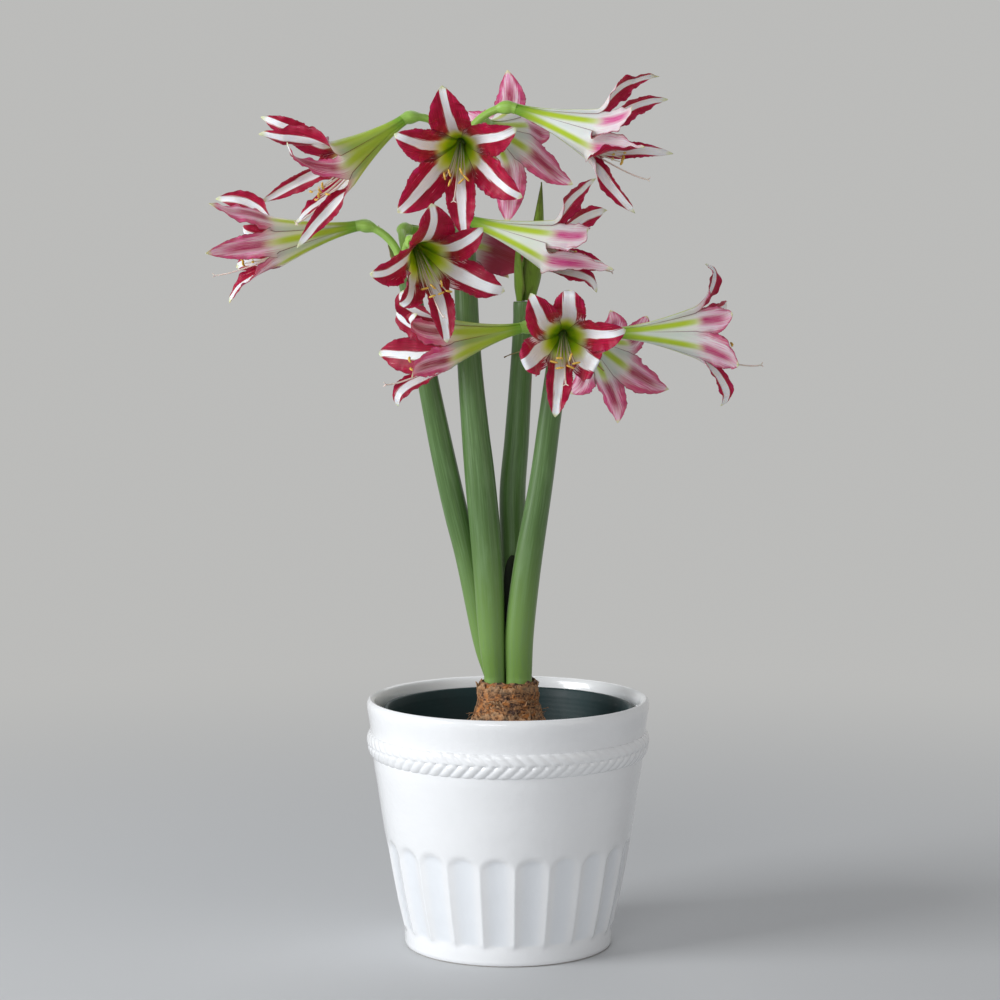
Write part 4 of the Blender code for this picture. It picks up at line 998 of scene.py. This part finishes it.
def fibre_shape(count, seed):
    """Loose hairs at the foot of the neck: thin tubes along short random arcs."""
    rng = np.random.default_rng(seed)
    shape = Shape()
    s, girth = np.linspace(0, 1, 9), np.linspace(0.32, 0.1, 9)
    for _ in range(count):
        way = turned(rng.uniform(0, 360))
        low = rng.uniform(170, 196)
        start = way * (bulb_radius(low) + 1.5) + (0, 0, low)
        leave = way * rng.uniform(4, 12) + (*rng.uniform(-8, 8, 2), rng.uniform(-6, 12))
        end = start + way * rng.uniform(2, 7) + (*rng.uniform(-4, 4, 2), rng.uniform(-7, 3))
        path = hermite(start, leave, end, rng.uniform(-14, 14, 3), s)
        points, skin = round_section(path, np.cross(way, UP), girth, girth, 5)
        shape.tube(points, (0, 0.9, 0), skin)
    return shape


# --- scapes, leaf, spathe and bracts


def scape_top(name):
    """Middle of the top of a scape, under its crown, and its two half widths there."""
    *middle, width, depth = SCAPES[name][-1]
    return np.array(middle), width, depth


def scape_shape(name):
    """An oval tube along the scape's curve, very slightly ribbed, with a rounded crown on top."""
    rows = smooth_path(SCAPES[name], 90)
    start, end = rows[0, :3], rows[-1, :3]
    bottom = np.linspace(NECK_TOP - NECK_RECESS + 0.3, start[2] - 1.5, 6)
    crown, shrink = CROWN * np.array([0.5, 0.9, 1.0]), np.array([0.99, 0.95, 0.88])
    path = np.vstack([joined(start[0], start[1], bottom), rows[:, :3], end + joined(0, 0, crown)])
    flare = 1 + 0.06 * ease(path[:, 2], path[-1, 2] - 16, path[-1, 2] - 2)
    width, depth = (
        np.r_[np.full(6, half[0]), half, half[-1] * shrink] * flare for half in rows[:, 3:].T)
    points, skin = round_section(path, EAST, width, depth, 40, 0.006, 9)
    return Shape().tube(points, joined(0, np.linspace(0, 1, len(path))[:, None], 0), skin)


def leaf_shape():
    """The short new leaf: a strap of half width 5.6 sqrt(1.04 - s^6), thinner towards its tip."""
    s = np.linspace(0, 1, 48)
    path = smooth_path([(-1.4, 0.3, 208), (-1, 0.2, 250), (2, -0.4, 300), (3.6, -1.4, 320)], 48)
    width = 5.6 * np.sqrt(np.clip(1.04 - s**6, 0, 1))
    points, skin = round_section(path, np.array([1.0, 0.1, 0]), width, 0.5 + 0.4 * (1 - s), 24)
    return Shape().tube(points, joined(0, s[:, None], 0), skin)


def boat_shape(start, end, bow, width, facing, seed, thick=1.3, hollow=0.5, wave=0.0):
    """A pointed channelled blade: bowed by sin(pi t), its margins folded towards facing."""
    s, v = np.linspace(0, 1, 44), np.linspace(-1, 1, 17)
    t, across = s[:, None], v[None, :, None]
    span = end - start
    path = start + t * span - np.sin(s * math.pi)[:, None] * bow * facing
    tangent = unit(np.gradient(path, axis=0))
    side = unit(np.cross(facing, tangent))
    out = np.cross(side, tangent)
    out = out * np.sign(-(out @ facing))[:, None]
    half = (width * (0.5 + 0.5 * ease(s, 0, 0.22)) * (1 - s**1.8) + 0.4)[:, None, None]
    skin = path[:, None] + side[:, None] * across * half - out[:, None] * hollow * half * across**2
    skin = skin + out[:, None] * wave * np.abs(across) ** 3 * ripple(skin, 18, seed, 2)[..., None]
    normal = unit(out[:, None] + 2 * hollow * across * side[:, None])
    inside = skin - normal * thick * (0.35 + 0.65 * (1 - across**2))
    grain = joined(half[..., 0] * v, np.linalg.norm(span) * t, 40 * seed)
    grids = [skin, inside, joined(v, t, 0), grain]
    if np.cross(tangent[0], side[0]) @ out[0] > 0:
        grids = [grid[:, ::-1] for grid in grids]
    return Shape().sheet(*grids)


def bud_shape(top):
    """The small bud that stands between the spathe's valves, on top of its scape."""
    rows = [top + (x, 3.5, z) for x, z in ((-1.5, 0.3), (-1.5, 12), (-1, 26), (-0.5, 38))]
    path = smooth_path(rows, 40)
    girth = np.interp(np.linspace(0, 7, 40), range(8), (1.6, 1.8, 2.6, 3.2, 3.2, 2.6, 1.6, 0.5))
    points, skin = round_section(path, EAST, girth, girth * 0.8, 24)
    return Shape().tube(points, joined(0, np.linspace(0, 1, 40)[:, None], 0), skin)


def bract_shape(name, seed):
    """A withered bract that leans out from the top of its scape."""
    angle, reach, rise, width = BRACTS[name]
    top, wide, deep = scape_top(TIERS[name.split("_")[1]])
    out = turned(angle)
    side = 1 / math.hypot(out[0] / wide, out[1] / deep)
    start = top - UP + out * (side + max(0.7, rise / 25))
    end = top + out * (side + reach) + (0, 0, rise)
    return boat_shape(start, end, -3, width, unit(UP - 0.3 * out), seed, 0.7, 0.3, 0.8)


# --- flowers


def flower_axes(flower):
    """Columns: to the right of someone facing the flower, upward, and out along its axis."""
    az, el = math.radians(flower["azimuth"]), math.radians(flower["elevation"])
    axis = np.array([math.cos(el) * math.cos(az), math.cos(el) * math.sin(az), math.sin(el)])
    up = unit(UP - axis[2] * axis)
    return np.stack([np.cross(up, axis), up, axis], 1)


def placed(flower, points):
    """Points of the flower's own axes as points of the plant."""
    return points @ flower_axes(flower).T + flower["foot"]


def tube_radius(z):
    """The funnel widens as z^1.5 from the foot to the mouth."""
    return TUBE_RADIUS + (MOUTH_RADIUS - TUBE_RADIUS) * (z / MOUTH_HEIGHT) ** 1.5


def tepal_spine(flower, k, along):
    """Middle line of tepal k in the flower's axes.

    along runs from -1 at the foot to 0 at the mouth, up the funnel's wall, and from there to
    1 at the tip on a cubic that leaves with the wall's slope and arrives at the tip's lean.
    """
    angle, reach, height, lean, _, _, _, _, spring = flower["tips"][k]
    base, lean = math.radians(flower["roll"] + 60 * k), math.radians(lean)
    slope = math.atan(1.5 * (MOUTH_RADIUS - TUBE_RADIUS) / MOUTH_HEIGHT)
    start_out, end_out = turned(math.degrees(base)), turned(angle)
    start = MOUTH_RADIUS * start_out + MOUTH_HEIGHT * UP
    end = reach * end_out + height * UP
    span = np.linalg.norm(end - start)
    leave = spring * span * (math.sin(slope) * start_out + math.cos(slope) * UP)
    arrive = (1.7 - 0.6 * math.sin(lean)) * span * (math.sin(lean) * end_out + math.cos(lean) * UP)
    blade = hermite(start, leave, end, arrive, np.maximum(along, 0))
    z = MOUTH_HEIGHT * (1 + np.minimum(along, 0))
    wall = tube_radius(z)[:, None] * start_out + z[:, None] * UP
    return np.where(along[:, None] > 0, blade, wall)


def tepal_skins(flower, k, seed):
    """Both skins of one tepal, a thin sheet round its spine, with its zone and skin rows.

    At across = v the point is spine + side w sin(c v) / c - out w (1 - cos(c v)) / c: an arc of
    half width w and half angle c, the funnel's own wall in the tube and flatter in the blade.
    The edges ruffle as |v|^3 sin, are nicked at random, and the whole blade twists with along.
    """
    tip_angle, _, _, _, twist, hook, cup, broad, _ = flower["tips"][k]
    rng = np.random.default_rng(seed)
    outer_whorl = k % 2 == 1
    rows = np.r_[np.linspace(-1, 0, TUBE_ROWS)[:-1], np.linspace(0, 1, BLADE_ROWS) ** 0.95]
    v = np.linspace(-1, 1, TEPAL_COLUMNS)
    spine = tepal_spine(flower, k, rows)
    before, after = np.maximum(rows - 0.005, -1), rows + 0.005
    tangent = unit(tepal_spine(flower, k, after) - tepal_spine(flower, k, before))
    base = flower["roll"] + 60 * k
    swing = (tip_angle - base + 180) % 360 - 180
    t = np.maximum(rows, 0)
    side = square_to(tangent, turned(base + swing * t + 90))
    out = np.cross(side, tangent)
    turn = np.radians(twist) * ease(t, 0.0, 0.7)[:, None]
    side, out = np.cos(turn) * side + np.sin(turn) * out, np.cos(turn) * out - np.sin(turn) * side
    spine = spine + out * (hook * ease(t, 0.76, 1.14) * 2)[:, None]

    widest = (OUTER_TEPAL if outer_whorl else INNER_TEPAL) * broad
    tube_half = tube_radius(MOUTH_HEIGHT * (1 + np.minimum(rows, 0))) * TUBE_ARC
    blade_half = widest * (0.79 + 0.9 * t - 0.95 * t**2) * np.maximum(1 - t**4.2, 0) ** 0.85 + 0.3
    share = ease(t, 0.0, 0.3)
    half = ((1 - share) * tube_half + share * blade_half)[:, None]
    arc = np.where(t > 0, 0.6 - 0.42 * t, TUBE_ARC) * (1 + (cup - 1) * ease(t, 0, 0.25))
    arc = np.where(np.abs(arc) < 0.04, 0.04, arc)[:, None]
    run = run_along(spine)
    phase = rng.uniform(0, TURN, 4)
    left = np.sin(run * 0.30 + phase[0]) + 0.6 * np.sin(run * 0.71 + phase[1])
    right = np.sin(run * 0.33 + phase[2]) + 0.6 * np.sin(run * 0.66 + phase[3])
    ruffle = np.where(v < 0, left[:, None], right[:, None]) * np.abs(v) ** 3
    ruffle = ruffle * (1.25 * ease(t, 0.08, 0.5))[:, None] * (1 - 0.6 * ease(t, 0.75, 1.0))[:, None]
    nick = rng.uniform(-1, 0.35, (len(rows), 2)) * (0.75 * ease(t, 0.12, 0.3) * (1 - t**4))[:, None]
    nick = np.where(v < 0, nick[:, :1], nick[:, 1:]) * np.abs(v) ** 8 * np.sign(v)
    wide = half * np.sin(arc * v) / arc + nick
    deep = half * (1 - np.cos(arc * v)) / arc - ruffle
    rib = 0.45 * np.exp(-((half * v / 1.6) ** 2)) * ease(rows, -0.6, 0.1)[:, None]
    middle = spine - out * (0.2 if outer_whorl else 0.85)
    side, out = side[:, None], out[:, None]
    front = middle[:, None] + side * wide[..., None] - out * (deep - 0.6 * rib)[..., None]
    normal = np.cos(arc * v)[..., None] * out + np.sin(arc * v)[..., None] * side
    back = front - normal * (0.5 * (1 - 0.55 * v**2))[:, None]
    skin = joined(half * v, run[:, None], seed * 13.0)
    return placed(flower, front), placed(flower, back), joined(v, rows[:, None], 0), skin


def tepal_shape(flower, k, seed):
    """The closed sheet between a tepal's two skins."""
    pale = np.broadcast_to(flower["pale"], 6)[k] + 0.3 * math.sin(2.3 * seed)
    # The last tone value deepens the reds: partly the flower's own colour, partly painted shade.
    tone = (max(pale, 0), flower.get("lime", 0.25), flower.get("deep_red_and_shade", 0))
    return Shape(tone).sheet(*tepal_skins(flower, k, seed))


def stamens_shape(flower, seed):
    """Six filaments that dip and rise, each with its anther, and a style with a three-way tip."""
    rng = np.random.default_rng(seed)
    droop = flower.get("droop", 1.0)
    low = TUBE_FLOOR + 2.3
    foot = np.array([0, 0, low])
    shape = Shape()

    def add(path, girth, kind, sides, flat=1.0, across=EAST):
        points, skin = round_section(path, across, girth, girth * flat, sides)
        skin = skin * (1, 1, 0) + path[:, 2:][:, None] * UP
        shape.tube(placed(flower, points), (0, kind, 0), skin)

    add(np.array([(0, 0, TUBE_FLOOR + 0.3), foot]), np.array([2.9, 2.7]), FILAMENT, 12)
    s = np.linspace(0, 1, 26)
    u = np.linspace(-1, 1, 13)
    for i in range(6):
        out = turned(60 * i)
        start = 1.75 * out + foot
        end = start + out * (6.5, 2.5, 0) + (0, -13 * droop, 80 + 4 * math.cos(3.1 * i))
        path = hermite(start, 4 * out + (0, -6 * droop, 62), end, 4 * out + (0, 14 * droop, 34), s)
        add(path, 0.62 - 0.2 * s, FILAMENT, 7)
        way = unit(path[-1] - path[-3])
        swing = unit(np.cross(way, rng.normal(size=3)) + 0.5 * np.cross(way, EAST))
        length = rng.uniform(2.6, 3.3)
        bent = way * 0.9 * (1 - u[:, None] ** 2)
        anther = path[-1] + way * 0.6 + swing * u[:, None] * length + bent
        add(anther, 1.05 * np.sqrt(1 - 0.85 * u**4), ANTHER, 8, 0.8, way)
    end = np.array([0, -26 * droop, 117.0])
    leave, arrive = np.array([0, -14 * droop, 60.0]), np.array([0, 14 * droop, 60.0])
    path = hermite(foot, leave, end, arrive, s)
    add(path, 0.72 - 0.1 * s, STYLE, 8)
    way = unit(path[-1] - path[-3])
    u = np.linspace(0, 1, 9)
    for i in range(3):
        out = unit(turned(120 * i + 90) - 0.2 * way)
        lobe = path[-1] + way * 2.6 * u[:, None] + out * 2.4 * u[:, None] ** 1.8
        add(lobe, 0.62 * (1 - 0.5 * u), STYLE, 6)
    return shape


def pedicel_shape(name):
    """The stalk from its place on the scape to the flower's foot, ending in a three-lobed ovary."""
    flower = FLOWERS[name]
    tier, place = name.split("_")
    across, _, close = flower_axes(flower).T
    top, _, _ = scape_top(TIERS[tier])
    start = top + (0, 0, CROWN + 0.3) + 4.9 * turned(SLOTS[place])
    end = flower["foot"] - 0.05 * close
    span = np.linalg.norm(end - start)
    s = np.linspace(0, 1, 46)
    path = hermite(start + 1.2 * UP, UP * span, end - 1.2 * close, close * span * 0.9, s)
    path = np.vstack([start, path, end])
    run = np.linalg.norm(path - path[-1], axis=1)
    swell = np.sin(np.clip(run / OVARY_LENGTH, 0, 1) * math.pi)
    swollen = np.maximum(swell, 0.6 * ease(run, 8.5, 5.5))
    foot = 1 + 0.12 * ease(np.linalg.norm(path - path[0], axis=1), 4, 0)
    girth = (PEDICEL_RADIUS + (OVARY_RADIUS - PEDICEL_RADIUS) * swollen) * foot
    points, skin = round_section(path, across, girth, girth, 24, 0.07 * swell, 3)
    return Shape().tube(points, joined(0, ((run[0] - run) * (1 / run[0]))[:, None], 0), skin)


# --- settings


def described(name, description, default):
    return {"name": name, "description": description, "default": default}


def colour_property(*text):
    return bpy.props.FloatVectorProperty(**described(*text), size=3, min=0, max=1, subtype="COLOR")


def length_property(*text):
    return bpy.props.FloatProperty(**described(*text), min=0, subtype="DISTANCE", unit="LENGTH")


def count_property(*text):
    return bpy.props.IntProperty(**described(*text), min=0, max=200)


class PotSettings(bpy.types.PropertyGroup):
    flute_depth: length_property("Flute depth", "How far each flute sinks into the wall", 0.0026)
    rope_proud: length_property("Rope relief", "How far the rope stands out of the wall", 0.0042)
    glaze: colour_property("Glaze", "Colour of the pot's glaze", (0.90, 0.91, 0.925))


class PlantSettings(bpy.types.PropertyGroup):
    flakes: count_property("Flakes", "Torn scales round the bulb's neck", 44)
    fibres: count_property("Fibres", "Loose hairs round the bulb's neck", 60)


class FlowerSettings(bpy.types.PropertyGroup):
    white: colour_property("Stripe", "Colour of the stripe down each tepal", (0.93, 0.90, 0.90))
    crimson: colour_property("Sides", "Colour of each tepal's sides", (0.50, 0.003, 0.055))


class StageSettings(bpy.types.PropertyGroup):
    ground: colour_property("Ground", "Colour of the floor round the pot", (0.60, 0.61, 0.62))
    backdrop: colour_property("Backdrop", "Colour seen behind the plant", (0.50, 0.50, 0.49))
    key_power: bpy.props.FloatProperty(
        **described("Key lamp", "Power of the large lamp on the left", 62), min=0, unit="POWER")


# --- operators


class AMARYLLIS_OT_cachepot(bpy.types.Operator):
    """Build the glazed cachepot with its flutes and rope band"""

    bl_idname = "amaryllis.cachepot"
    bl_label = "Cachepot"

    def execute(self, context):
        settings = context.scene.amaryllis_pot
        glaze = glaze_material(settings)
        for name, shape in (("body", pot_shape(settings)), ("rope", rope_shape(settings))):
            add_piece(f"cachepot_{name}", shape, glaze, "cachepot")
        return {"FINISHED"}


class AMARYLLIS_OT_planting(bpy.types.Operator):
    """Build the nursery pot and the soil in it"""

    bl_idname = "amaryllis.planting"
    bl_label = "Nursery pot and soil"

    def execute(self, context):
        add_piece("nursery_liner", liner_shape(), plastic_material(), "nursery_pot")
        add_piece("soil", soil_shape(), peat_material(), "potting_soil")
        return {"FINISHED"}


class AMARYLLIS_OT_bulb(bpy.types.Operator):
    """Build the bulb, its wrapped scales, torn flakes and loose fibres"""

    bl_idname = "amaryllis.bulb"
    bl_label = "Bulb and dry scales"

    def execute(self, context):
        settings = context.scene.amaryllis_plant
        scale = papery_material(
            "bulb_scale", (0.03, 0.012, 0.006), (0.42, 0.21, 0.095), (0.52, 0.18, 0.035), 0.2)
        torn = papery_material(
            "torn_scale", (0.04, 0.014, 0.007), (0.52, 0.26, 0.115), (0.64, 0.23, 0.05))
        add_piece("bulb_body", bulb_shape(), scale, "bulb")
        for name, shape, node in (
            ("sleeve_inner", sleeve_shape(172, 217.5, 0.3, 2, 5, 4), "tunic_inner"),
            ("sleeve_outer", sleeve_shape(164, 197, 1.0, 4, 9, 6), "tunic_outer"),
            ("flakes", flake_shape(settings.flakes, 12), "tunic_outer"),
            ("fibres", fibre_shape(settings.fibres, 21), "tunic_outer"),
        ):
            add_piece(f"scale_{name}", shape, torn, node)
        return {"FINISHED"}


class AMARYLLIS_OT_scapes(bpy.types.Operator):
    """Build the flower scapes"""

    bl_idname = "amaryllis.scapes"
    bl_label = "Scapes"

    def execute(self, context):
        skin = stalk_material("scape_skin", (0.20, 0.35, 0.075), (0.07, 0.145, 0.034),
                              (0.11, 0.205, 0.042), (0.17, 0.29, 0.12), (215, 360))
        for name in SCAPES:
            add_piece(f"{name}_stalk", scape_shape(name), skin, name)
        return {"FINISHED"}


class AMARYLLIS_OT_foliage(bpy.types.Operator):
    """Build the young leaf, the split spathe with its bud, and the withered bracts"""

    bl_idname = "amaryllis.foliage"
    bl_label = "Leaf, spathe and bracts"

    def execute(self, context):
        # The leaf's near-black green is painted shade over its own dark green: it stands in the
        # shadow between the scapes.
        leaf = blade_material(
            "leaf_green_and_shade", (0.005, 0.010, 0.003), (0.010, 0.018, 0.005), (0.014, 0.018, 0.005), 0.6)
        green = blade_material(
            "spathe_skin", (0.15, 0.26, 0.022), (0.22, 0.35, 0.04), (0.08, 0.08, 0.02), 0.45)
        dry = blade_material(
            "dry_bract", (0.30, 0.33, 0.12), (0.46, 0.45, 0.2), (0.36, 0.2, 0.09), 0.7)
        add_piece("new_leaf", leaf_shape(), leaf, "young_leaf")
        top = scape_top("scape_back")[0] + CROWN * UP
        left = boat_shape(top + (-6.2, -4.4, 0.3), (8, -1, 580), 2, 6.4, unit((0.75, 0.66, 0)), 2)
        right = boat_shape(top + (5.6, 0, 0.3), (27, 4, 621), 3, 9.5, unit((-0.6, 0.8, 0)), 3)
        add_piece("spathe_left", left, green, "spathe_valve_left")
        add_piece("spathe_right", right, green, "spathe_valve_right")
        add_piece("spathe_inner_bud", bud_shape(top), green, "spathe_bud")
        for seed, name in enumerate(BRACTS, 5):
            add_piece(f"{name}_paper", bract_shape(name, seed), dry, name)
        return {"FINISHED"}


class AMARYLLIS_OT_tepals(bpy.types.Operator):
    """Build the six tepals of every flower"""

    bl_idname = "amaryllis.tepals"
    bl_label = "Tepals"

    def execute(self, context):
        striped = tepal_material(context.scene.amaryllis_flower)
        for number, (name, flower) in enumerate(FLOWERS.items()):
            for k in range(6):
                shape = tepal_shape(flower, k, 6 * number + k)
                add_piece(f"{name}_tepal_{k + 1}", shape, striped, f"{name}_perianth", 70)
        return {"FINISHED"}


class AMARYLLIS_OT_stamens(bpy.types.Operator):
    """Build the stamens and style of every flower"""

    bl_idname = "amaryllis.stamens"
    bl_label = "Stamens and styles"

    def execute(self, context):
        parts = stamen_material()
        for number, (name, flower) in enumerate(FLOWERS.items()):
            shape = stamens_shape(flower, number)
            add_piece(f"{name}_stamen_set", shape, parts, f"{name}_stamens")
        return {"FINISHED"}


class AMARYLLIS_OT_pedicels(bpy.types.Operator):
    """Build the stalk and ovary of every flower"""

    bl_idname = "amaryllis.pedicels"
    bl_label = "Flower stalks"

    def execute(self, context):
        skin = stalk_material("pedicel_skin", (0.24, 0.44, 0.05), (0.25, 0.47, 0.05),
                              (0.32, 0.54, 0.09), (0.40, 0.62, 0.18), (300, 420))
        for name in FLOWERS:
            add_piece(f"{name}_stalk", pedicel_shape(name), skin, f"{name}_pedicel")
        return {"FINISHED"}


def add_lamp(name, place, size, power, colour):
    """A square area lamp of that side, aimed at the middle of the plant."""
    data = bpy.data.lights.new(name, "AREA")
    data.size, data.energy, data.color = size, power, colour
    lamp = add_object(name, data)
    lamp.location = place
    x, y, z = np.array(LAMP_AIM) - place
    lamp.rotation_euler = (math.atan2(math.hypot(x, y), -z), 0, math.atan2(x, -y) + math.pi)


def add_world(backdrop):
    """A dim sky for light, seen as the plain backdrop."""
    world = bpy.context.scene.world = bpy.data.worlds.new("studio")
    nodes = Nodes(world)
    sky = nodes.add("ShaderNodeBackground", {"Color": SKY_COLOUR, "Strength": SKY_STRENGTH})
    plain = nodes.add("ShaderNodeBackground", {"Color": tuple(backdrop)})
    nodes.shade(nodes.seen_directly(), sky, plain)


class AMARYLLIS_OT_stage(bpy.types.Operator):
    """Set the floor, lamps, world and camera"""

    bl_idname = "amaryllis.stage"
    bl_label = "Stage"

    def execute(self, context):
        scene = context.scene
        settings = scene.amaryllis_stage
        mesh = bpy.data.meshes.new("ground")
        corners = ((-1, -1, 0), (1, -1, 0), (1, 1, 0), (-1, 1, 0))
        mesh.from_pydata([GROUND_HALF * np.array(corner) for corner in corners], [], [(0, 1, 2, 3)])
        mesh.materials.append(floor_material(settings))
        add_object("ground", mesh)
        for name, (place, size, share, colour) in LAMPS.items():
            add_lamp(name, place, size, settings.key_power * share, colour)
        add_world(settings.backdrop)
        lens = bpy.data.cameras.new("viewpoint")
        lens.lens, lens.sensor_width = LENS_LENGTH, SENSOR_WIDTH
        scene.camera = add_object("viewpoint", lens)
        scene.camera.location = CAMERA_PLACE
        scene.camera.rotation_euler = (math.radians(90 - CAMERA_DIP), 0, math.radians(CAMERA_TURN))
        scene.view_settings.view_transform = "Standard"
        return {"FINISHED"}


class AMARYLLIS_PT_panel(bpy.types.Panel):
    """Lists the amaryllis operators and their settings"""

    bl_idname = "AMARYLLIS_PT_panel"
    bl_label = "Potted Amaryllis"
    bl_space_type = "VIEW_3D"
    bl_region_type = "UI"
    bl_category = "Amaryllis"

    def draw(self, context):
        for name, (group, *operators) in SECTIONS.items():
            box = self.layout.box()
            for setting in group.__annotations__:
                box.prop(getattr(context.scene, name), setting)
            for operator in operators:
                box.operator(operator.bl_idname)


# Each group of settings, under its name in the scene, and the operators that go with it
SECTIONS = {
    "amaryllis_pot": (PotSettings, AMARYLLIS_OT_cachepot, AMARYLLIS_OT_planting),
    "amaryllis_plant": (
        PlantSettings, AMARYLLIS_OT_bulb, AMARYLLIS_OT_scapes, AMARYLLIS_OT_foliage),
    "amaryllis_flower": (
        FlowerSettings, AMARYLLIS_OT_tepals, AMARYLLIS_OT_stamens, AMARYLLIS_OT_pedicels),
    "amaryllis_stage": (StageSettings, AMARYLLIS_OT_stage),
}
CLASSES = (*(item for section in SECTIONS.values() for item in section), AMARYLLIS_PT_panel)


def register():
    for item in CLASSES:
        bpy.utils.register_class(item)
    for name, (group, *_) in SECTIONS.items():
        setattr(bpy.types.Scene, name, bpy.props.PointerProperty(type=group))


def unregister():
    for name in SECTIONS:
        delattr(bpy.types.Scene, name)
    for item in reversed(CLASSES):
        bpy.utils.unregister_class(item)


def main():
    register()
    bpy.ops.amaryllis.stage()
    bpy.ops.amaryllis.cachepot()
    bpy.ops.amaryllis.planting()
    bpy.ops.amaryllis.bulb()
    bpy.ops.amaryllis.scapes()
    bpy.ops.amaryllis.foliage()
    bpy.ops.amaryllis.tepals()
    bpy.ops.amaryllis.stamens()
    bpy.ops.amaryllis.pedicels()


if __name__ == "__main__":
    main()
